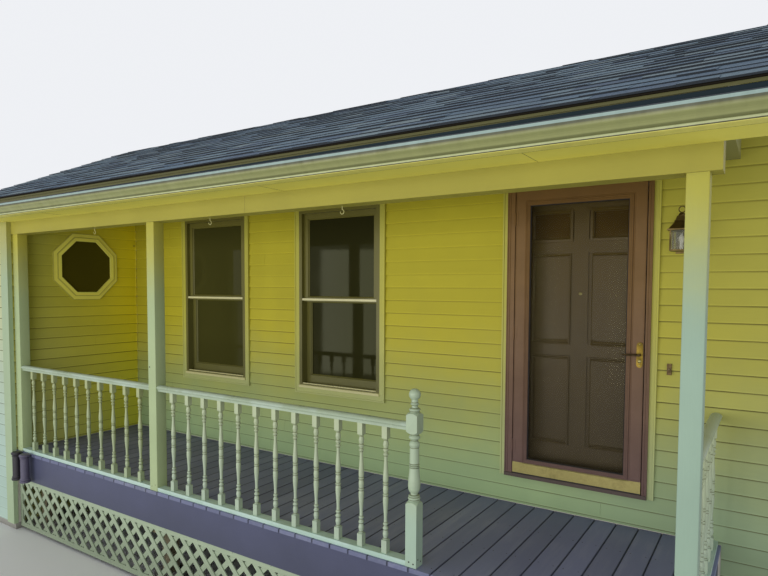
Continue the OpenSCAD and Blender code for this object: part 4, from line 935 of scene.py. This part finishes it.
# Steps: three cut stringers carry two boards to a tread, screwed down, with a gap that lets the
# rain through. Shoes have worn the noses pale.
finish("stringers", deck_enamel("stringer_enamel", DECK_UPPER, DECK_WORN, 1, 0.4))
tread_low, tread_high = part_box("treads")
TREADS, TREAD_RUN, TREAD_RISE, RISER_T = 3, 0.280, 0.190, 0.019
TREAD_T, TREAD_NOSE, TREAD_GAP, TREAD_EASE = 0.038, 0.025, 0.006, 0.005
tread_boards, tread_screws = [], []
for i in range(TREADS):
    z1 = tread_high[2] - TREAD_RISE * i
    y1 = tread_high[1] - TREAD_RUN * i + (RISER_T if i else 0)
    y0 = tread_high[1] - TREAD_RUN * (i + 1) - TREAD_NOSE
    middle = (y0 + y1) / 2
    for a, b in ((y0, middle - TREAD_GAP / 2), (middle + TREAD_GAP / 2, y1)):
        tread_boards.append(eased_board(
            (tread_low[0], a, z1 - TREAD_T), (tread_high[0], b, z1), 0, TREAD_EASE))
        for x in (tread_low[0] + 0.02, centre("treads")[0], tread_high[0] - 0.02):
            for y in (a + 0.03, b - 0.03):
                tread_screws.append(stud((x, y, z1 - 0.0004), UP, 0.0045, 0.0012, 8))
make_piece("tread_boards", tread_boards, deck_enamel("tread_enamel", DECK_UPPER, "#8f939f", 0, 1.0),
           replaces="treads")
make_piece("tread_screws", tread_screws, nail_enamel)


# Porch posts: square pine posts with eased corners, from deck to beam. Their colour is painted
# yellow for the light reflected under the roof and green-grey below: painted light. Small chips
# show at the foot.
POST_UPPER, POST_LOWER = "#b3ab45", "#a5b489"
POST_EASE, MIDDLE_POST, OLD_SCREW_Z = 0.004, 2.024, 1.70
# Painted light: yellow up under the roof, green-grey low down, and other colours toward the right-hand post.
post_paint = painted_wood(
    "cream_post_paint", POST_UPPER, POST_LOWER, deck_top + 1.3, deck_top + 2.05, 2, 0.45,
    sheen=0.12, aside=("X", -0.5, 2.2, "#b0aa4b", "#94ab98"))
post_low, post_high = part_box("porch_posts")
POST_W = post_high[1] - post_low[1]
POST_X = (post_low[0], left_x + MIDDLE_POST, post_high[0] - POST_W)
posts, post_marks = [], []
for x in POST_X:
    ring = []
    for cx, cy, turns in ((x, post_low[1], 2), (x + POST_W, post_low[1], 3),
                          (x + POST_W, post_high[1], 0), (x, post_high[1], 1)):
        centre_x = cx + (POST_EASE if turns in (1, 2) else -POST_EASE)
        centre_y = cy + (POST_EASE if turns in (2, 3) else -POST_EASE)
        for step in range(4):
            angle = math.pi / 2 * (turns + step / 3)
            ring.append((centre_x + POST_EASE * math.cos(angle), centre_y + POST_EASE * math.sin(angle)))
    posts.append(skin([[(px, py, z) for px, py in ring] for z in (post_low[2], post_high[2])]))
    post_marks += [stud((x + POST_W / 2 + dx, post_low[1], post_low[2] + up), FRONT, 0.0035, 0.001, 8)
                   for dx, up in ((-0.02, 0.03), (0.02, 0.045))]
make_piece("square_posts", posts, post_paint, smooth=True, replaces="porch_posts")
post_marks.append(stud((POST_X[1] + 0.018, post_low[1], OLD_SCREW_Z), FRONT, 0.005, 0.003))
dark_steel = plain_plastic("rusty_screw_heads", "#2c241a", 0.5)
make_piece("post_nails", post_marks, dark_steel, smooth=True)


# Newel and balusters: turned from square pine. The lathe left square blocks for the rails to meet,
# and beads, vases and collars between them. Painted shade darkens the grooves, and paint has flaked
# at the foot of the newel. The left balusters have a darker copy of the paint: painted shade.
NEWEL_GROOVES = (0.374, 0.390, 0.401, 0.553, 0.564, 0.575, 0.664, 0.704, 0.736, 0.866, 0.884, 0.898, 0.916)
finish("newel_post", painted_wood(
    "cream_newel_paint", "#a1b195", "#a0b6a2", deck_top + 0.2, deck_top + 0.5, 2, 0.38, 0.035, "#6d634c",
    grooves=(deck_top + 2, 2, NEWEL_GROOVES)))
FOOT_BLOCK, HEAD_BLOCK = 0.074, 0.070
turned_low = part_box("front_balusters")[0][2] + FOOT_BLOCK
turned_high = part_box("front_balusters")[1][2] - HEAD_BLOCK
middle, half = (turned_low + turned_high) / 2, (turned_high - turned_low) / 2
rings = (middle, half, (0.0095, 0.0575, 0.082, 0.1025, 0.89 * half - 0.0075, 0.89 * half + 0.0075))
finish("front_balusters side_balusters", painted_wood(
    "cream_baluster_paint", "#aab490", "#a4b49e", deck_top, deck_top + 0.8, 2, 0.4, grooves=rings))
finish("left_balusters", painted_wood(
    "shaded_baluster_paint", "#9da475", "#9ba987", deck_top, deck_top + 0.8, 2, 0.42, grooves=rings))
newel_low, newel_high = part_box("newel_post")
newel_nails = [stud((centre("newel_post")[0] + dx, newel_low[1], newel_low[2] + up), FRONT, 0.005, 0.001, 10)
               for dx, up in ((-0.012, 0.028), (0.016, 0.022))]
newel_nails += [stud((newel_high[0], newel_low[1] + dy, newel_low[2] + up), RIGHT, 0.005, 0.001, 10)
                for dy, up in ((0.02, 0.045), (0.05, 0.025))]
make_piece("newel_nails", newel_nails, dark_steel, smooth=True)


# Handrails and bottom rails: pine run through a moulder, nailed between the posts. The crown is
# glossy, and its paler, bluer colour is a painted reflection of the sky; dust greys the flat top
# of the bottom rail.
finish("handrails", painted_wood(
    "cream_rail_paint", "#a9b8a6", "#9fae95", deck_top + 0.78, deck_top + 0.81, 0, 0.28))
finish("bottom_rails", painted_wood(
    "cream_bottom_rail_paint", "#b0c7bb", "#a9c2b3", deck_top, deck_top + 0.03, 0, 0.45, 0.02, "#7d7461"))


# Beam, soffit, end panel and eave board: pine boards, caulked at the joints, in the yellow of
# the walls, and olive on the eave board. Three wire hooks are screwed into the beam's foot.
# The soffit's paint is a lighter copy, painted light, for the light thrown up from the ground; the end
# panel's is a darker copy, painted shade.
for node, name, hex_text, along, roughness, sheen in (
    ("front_beam", "yellow_beam_paint", "#a39b44", 0, 0.45, 0.15),
    ("soffit", "yellow_soffit_paint", "#f2e86a", 0, 0.5, 0.4),
    ("end_panel", "shaded_end_paint", "#93915a", 1, 0.5, 0.4),
):
    finish(node, painted_wood(name, hex_text, hex_text, 2.5, 3.0, along, roughness, sheen=sheen))
eave_paint = painted_wood("olive_eave_paint", "#5a5833", "#54522f", 2.8, 3.05, 0, 0.5, sheen=0.2)
finish("eave_board", eave_paint)


def wire(path, radius, sides=8):
    """A round wire along a list of points."""
    turns = [2 * math.pi * k / sides for k in range(sides)]
    rings = []
    for i, point in enumerate(path):
        ahead = (Vector(path[min(i + 1, len(path) - 1)]) - Vector(path[max(i - 1, 0)])).normalized()
        across = (across - ahead * across.dot(ahead) if i else ahead.orthogonal()).normalized()
        other = ahead.cross(across)
        rings.append([tuple(Vector(point) + (across * math.cos(a) + other * math.sin(a)) * radius)
                      for a in turns])
    return skin(rings)


HOOK_X, HOOK_STEM, HOOK_R, WIRE_R = (-1.60, -0.20, 0.95), 0.022, 0.013, 0.002
hooks = []
y, z = centre("front_beam")[1], beam_low[2]
bend = [math.radians(a) for a in range(0, 281, 20)]
for x in HOOK_X:
    hooks.append(wire([(x, y, z + 0.004), (x, y, z - HOOK_STEM)] + [
        (x + HOOK_R * math.sin(a), y, z - HOOK_STEM - HOOK_R + HOOK_R * math.cos(a)) for a in bend], WIRE_R))
make_piece("basket_hooks", hooks, plain_plastic("painted_wire", "#bdb877", 0.4), smooth=True)
# The beam's planks meet at one place, and the soffit's boards at three.
BEAM_JOINT_X, SOFFIT_JOINTS_X = 0.1995, (-1.9, 0.54, 2.15)
caulk = [box_part((BEAM_JOINT_X, beam_low[1] - 0.0004, beam_low[2] + 0.002),
                  (BEAM_JOINT_X + 0.0015, beam_low[1] + 0.001, beam_high[2] - 0.18))]
caulk += [box_part((x, soffit_low[1] + 0.001, soffit_low[2] - 0.0006),
                   (x + 0.002, beam_low[1] - 0.001, soffit_low[2] + 0.001)) for x in SOFFIT_JOINTS_X]
make_piece("board_joints", caulk, plain_plastic("cracked_caulk", "#5d5730", 0.8))


# Ceiling: narrow tongue-and-groove pine, blind-nailed to the rafters' ties, with a V at each joint.
STRIP_W, VEE, STRIP_GAP, END_GAP = 0.0838, 0.004, 0.0003, 0.0008
strips = []
y = ceiling_low[1] + 0.0005
while y < ceiling_high[1] - 0.01:
    y1 = min(y + STRIP_W, ceiling_high[1] - 0.0005)
    section = [(y, ceiling_high[2]), (y, ceiling_low[2] + VEE), (y + VEE, ceiling_low[2]),
               (y1 - VEE, ceiling_low[2]), (y1, ceiling_low[2] + VEE), (y1, ceiling_high[2])]
    cut = chance.uniform(-1.9, 1.9)
    for x0, x1 in ((ceiling_low[0], cut - END_GAP / 2), (cut + END_GAP / 2, ceiling_high[0])):
        strips.append(skin([[(x, v, z) for v, z in section] for x in (x0, x1)]))
    y = y1 + STRIP_GAP
ceiling_paint = painted_wood("yellow_ceiling_paint", "#bdb563", "#bdb563", 2.5, 3.0, 0, 0.45)
make_piece("ceiling_strips", strips, ceiling_paint, replaces="ceiling")


# Gutter: roll-formed aluminium, with a rolled hem, a cove and a small bead. The cream enamel has
# gone olive in streaks. Bands of colour up the sheet paint light and shade: painted highlights on
# the hem and the bead, painted shade on top of the hem, under it, and over and under the bead, and
# a yellow underside, painted light from below. The bands are heights in mm.
SHEET_T = 0.0011
# Two sleeves join the gutter's lengths, and straps hold its front to its back.
SLEEVE_X, SLEEVE_W, SLEEVE_T = (1.054, 1.896), 0.04, 0.0008
STRAPS, STRAP_W, FIRST_STRAP, STRAPS_SHORT = 11, 0.025, 0.08, 0.185
GUTTER_H_MM = 88
# Band by band: the enamel's own colour on the cove and the face, painted highlights on the hem and the bead,
# painted shade round them, and painted light on the underside.
GUTTER_BANDS = (
    (0.8, "#ebe276"), (1.2, "#3c3a12"), (5.0, "#3c3a12"), (6.0, "#aeb382"), (13, "#aeb382"),
    (15, "#6b6e42"), (23, "#6b6e42"), (27, "#90935e"), (49, "#90935e"), (58, "#72733f"),
    (64, "#45472a"), (71, "#45472a"), (72.5, "#8ca199"), (83, "#8ca199"), (84.4, "#20282e"))
gutter_low, gutter_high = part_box("gutter")
# The sheet's outline from back to front: (distance from the front, height)
GUTTER_MM = [(110, 88), (110, 1), (109, 0), (44, 0), (41, 0.8), (39.2, 3), (38.6, 6), (38.6, 11),
             (39.4, 14), (41, 15.6), (41, 17.4), (37.5, 20.5), (33, 26), (27.5, 33), (20, 40), (12, 45.5),
             (7, 49), (4.5, 52), (3.6, 55), (2.5, 62), (1.4, 72), (1.2, 77), (0.3, 79.5), (0, 83),
             (0.8, 86), (3, 87.8), (6, 88), (8.4, 86.6), (9.2, 84), (8.4, 81.4), (6.2, 80.2)]


def other_face(points, thick):
    """The other face of a thin sheet that is bent along the points."""
    inner = []
    for i, (a, b) in enumerate(points):
        before, after = points[max(i - 1, 0)], points[min(i + 1, len(points) - 1)]
        da, db = after[0] - before[0], after[1] - before[1]
        length = math.hypot(da, db)
        inner.append((a + db / length * thick, b - da / length * thick))
    return inner


def bent_sheet(face, back, x0, x1):
    """A thin sheet between two bent faces, (y, z) points, from x0 to x1."""
    count = len(face)
    corners = [(x, y, z) for x in (x0, x1) for side in (face, back) for y, z in side]
    faces = [(i, count + i, 3 * count + i, 2 * count + i) for i in (0, count - 1)]
    for i in range(count - 1):
        for a, b in ((0, 2), (1, 3), (0, 1), (2, 3)):
            faces.append((a * count + i, a * count + i + 1, b * count + i + 1, b * count + i))
    return corners, faces


profile = [(gutter_low[1] + a / 1000, gutter_low[2] + b / 1000) for a, b in GUTTER_MM]
trough = [bent_sheet(profile, other_face(profile, -SHEET_T), gutter_low[0], gutter_high[0])]
raised = other_face(profile, SLEEVE_T)
for x in SLEEVE_X:
    trough.append(bent_sheet(profile[3:29], raised[3:29], x - SLEEVE_W / 2, x + SLEEVE_W / 2))
for x in (gutter_low[0], gutter_high[0] - SHEET_T):
    trough.append(skin([[(a, y, z) for y, z in profile[:24]] for a in (x, x + SHEET_T)]))
for i in range(STRAPS):
    x = gutter_low[0] + FIRST_STRAP + i * (gutter_high[0] - gutter_low[0] - STRAPS_SHORT) / (STRAPS - 1)
    trough.append(box_part((x, gutter_low[1] + 0.005, gutter_high[2] - 0.006),
                           (x + STRAP_W, gutter_high[1] - 0.001, gutter_high[2] - 0.0045)))

weathered, tree, place = new_material("weathered_gutter_enamel")
parts = add(tree, "SeparateXYZ", Vector=place).node.outputs
run = add(tree, "Mapping", Vector=place, Scale=(13.0, 4.0, 3.0))
streak = add(tree, "TexNoise", Vector=run, Scale=1.0, Detail=6.0, Roughness=0.7)
dirty = add(tree, "MapRange", Value=streak, From_Min=0.36, From_Max=0.68)
level = add(tree, "MapRange", Value=parts["Z"], From_Min=gutter_low[2], From_Max=gutter_high[2])
ramp = add(tree, "ValToRGB", Fac=level)
bands = ramp.node.color_ramp.elements
bands[0].color, bands[1].color = linear(GUTTER_BANDS[0][1]), linear(GUTTER_BANDS[-1][1])
for mm, hex_text in GUTTER_BANDS:
    bands.new(mm / GUTTER_H_MM).color = linear(hex_text)
tone = mottle(tree, ramp, dirty, To_Min=1.05, To_Max=0.92)
rough = add(tree, "MapRange", Value=dirty, To_Min=0.32, To_Max=0.6)
shader = add(tree, "BsdfPrincipled", Base_Color=tone, Roughness=rough)
add(tree, "OutputMaterial", Surface=shader)
make_piece("eave_gutter", trough, weathered, replaces="gutter")


# Roof: laminated asphalt shingles in overlapping courses over the boards, with brown aluminium
# drip edge under the first course. Stone granules in slate, blue-grey and brown cover them.
COURSE, BUTT, TOP_END, LAYER_T, UNDER_NEXT = 0.127, 0.0105, 0.0030, 0.012, 0.004
TAB_WIDTHS, LEAST_TAB, TAB_GAP = (0.14, 0.19, 0.24, 0.31), 0.06, 0.001
roof_low, roof_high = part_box("roofing")
rise = (roof_high[2] - roof_low[2] - LAYER_T) / (roof_high[1] - roof_low[1])
steep = math.sqrt(1 + rise * rise)
eave_z = roof_low[2]
slope_length = (roof_high[1] - roof_low[1]) * steep


def on_roof(x, s, out):
    """A point on the roof at the distance s up the slope, out above the boards."""
    return (x, roof_low[1] + s / steep - out * rise / steep, eave_z + s * rise / steep + out / steep)


chance = random.Random(33)
tabs = []
course = 0
while course * COURSE < slope_length - 0.02:
    s0, s1 = course * COURSE, min((course + 1) * COURSE, slope_length)
    lower = UNDER_NEXT if course else 0.0
    x, lean = roof_low[0], 0.0
    while x < roof_high[0]:
        wide = chance.choice(TAB_WIDTHS)
        x1 = min(x + wide, roof_high[0])
        if roof_high[0] - x1 < LEAST_TAB:
            x1 = roof_high[0]
        butt = BUTT - chance.choice((0.0, 0.0, 0.003, 0.0045))
        slip = chance.uniform(-0.0025, 0.0025) if course else chance.uniform(0.0, 0.003)
        lift = chance.uniform(0, 0.0015)
        lean1 = chance.uniform(-0.016, 0.016) if x1 < roof_high[0] else 0.0
        sides = (x + (TAB_GAP / 2 if x > roof_low[0] else 0), x1 - (TAB_GAP / 2 if x1 < roof_high[0] else 0))
        tabs.append(([on_roof(u, s, out) for (a, b), s, under, over in (
            (sides, s0 + slip, lower, butt + lift),
            ((sides[0] + lean, sides[1] + lean1), s1 + UNDER_NEXT, 0, TOP_END))
            for u, out in ((a, under), (b, under), (b, over), (a, over))], HEX_FACES))
        x, lean = x1, lean1
    course += 1
tabs = [([(cx, min(cy, roof_high[1]), cz) for cx, cy, cz in corners], faces) for corners, faces in tabs]

granules, tree, place = new_material("slate_granules")
own = add(tree, "NewGeometry", out="Random Per Island")
ramp = add(tree, "ValToRGB", Fac=own)
blends = ramp.node.color_ramp.elements
blends[0].color, blends[1].color = linear("#47596e"), linear("#728288")
for stop, hex_text in ((0.3, "#566c7f"), (0.55, "#5f7483"), (0.8, "#687d8a")):
    blends.new(stop).color = linear(hex_text)
grain = add(tree, "TexNoise", Vector=place, Scale=170.0, Detail=3.0, Roughness=0.8)
value = add(tree, "MapRange", Value=grain, From_Min=0.3, From_Max=0.7, To_Min=0.62, To_Max=1.3)
stain = add(tree, "TexNoise", Vector=place, Scale=1.4, Detail=4.0)
value = add(tree, "Math", "MULTIPLY", n0=value, n1=add(
    tree, "MapRange", Value=stain, From_Min=0.3, From_Max=0.7, To_Min=0.85, To_Max=1.1))
tone = add(tree, "HueSaturation", Color=ramp, Value=value)
bump = add(tree, "Bump", Strength=0.6, Distance=0.0015, Height=grain)
shader = add(tree, "BsdfPrincipled", Base_Color=tone, Roughness=0.9, Normal=bump)
add(tree, "OutputMaterial", Surface=shader)
cut_edge, tree, place = new_material("cut_asphalt_edge")
grit = add(tree, "TexNoise", Vector=place, Scale=260.0, Detail=2.0)
tone = add(tree, "Mix", COLOURS, 2, n0=grit, n6=linear("#14181d"), n7=linear("#2b333b"))
shader = add(tree, "BsdfPrincipled", Base_Color=tone, Roughness=0.85)
add(tree, "OutputMaterial", Surface=shader)
shingles = make_piece("shingle_courses", tabs, granules, replaces="roofing")
shingles.data.materials.append(cut_edge)
for number in range(0, len(shingles.data.polygons), len(HEX_FACES)):
    shingles.data.polygons[number].material_index = 1
board_low, board_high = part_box("roof_boards")
drip_z = eave_z + (board_low[1] - roof_low[1]) * rise
# The drip edge seen from its end: (out, down) from the boards' edge and the shingles' foot
DRIP_MM = ((1.5, 1), (1.5, 11), (5, 14), (4, 15), (0.3, 12), (0.3, 2))
# The drip edge's near-black is painted shade for the shade under the shingles' edge, over its own brown.
make_piece("drip_edge", [skin([
    [(x, board_low[1] - out / 1000, drip_z - down / 1000) for out, down in DRIP_MM]
    for x in (board_low[0], board_high[0])])],
    enamel("brown_drip_edge", "#1f1a10", 0.5, gloss=0.1))

# A painted strip closes the gap under the drip edge.
make_piece("eave_strip", [box_part((board_low[0], board_low[1] - 0.0008, drip_z - 0.027),
                                   (board_high[0], board_low[1] - 0.0002, drip_z - 0.008))],
           eave_paint)

# A dark sheet behind the gutter stands in for the shade inside the gutter: painted shade. It stands taller
# toward the right, where more of it shows.
SHADE_SHEET_LEFT, SHADE_SHEET_RIGHT = 0.026, 0.052
back_y, foot_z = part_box("eave_board")[0][1], gutter_high[2] + 0.0005
make_piece("gutter_shade_sheet", [([
    (x, y, z) for y in (back_y - 0.0016, back_y - 0.0002)
    for x, z in ((gutter_low[0], foot_z), (gutter_high[0], foot_z),
                 (gutter_high[0], foot_z + SHADE_SHEET_RIGHT), (gutter_low[0], foot_z + SHADE_SHEET_LEFT))
], HEX_FACES)], enamel("gutter_shade_enamel", "#1d2a30", 0.5, gloss=0.1))


# Corner caulk: where the return wall's boards meet the main wall there is no corner board, only a
# bead of caulk pressed in by hand and painted over. An old screw stands in the return wall.
OLD_SCREW = (left_x + 0.013, -0.105, 2.755)
BEAD_OUT, BEAD_WAVER = 0.013, 0.004
chance = random.Random(5)
bead_path = [(left_x + BEAD_OUT + chance.uniform(0, BEAD_WAVER),
              face_y - BEAD_OUT - chance.uniform(0, BEAD_WAVER), z / 100)
             for z in range(int(over_deck * 100) + 1, int(ceiling_low[2] * 100) - 1, 4)]
make_piece("corner_caulk", [wire(bead_path, 0.004, 6)], return_paint, smooth=True)
make_piece("wall_screw", [stud(OLD_SCREW, RIGHT, 0.006, 0.006)], dark_steel, smooth=True)
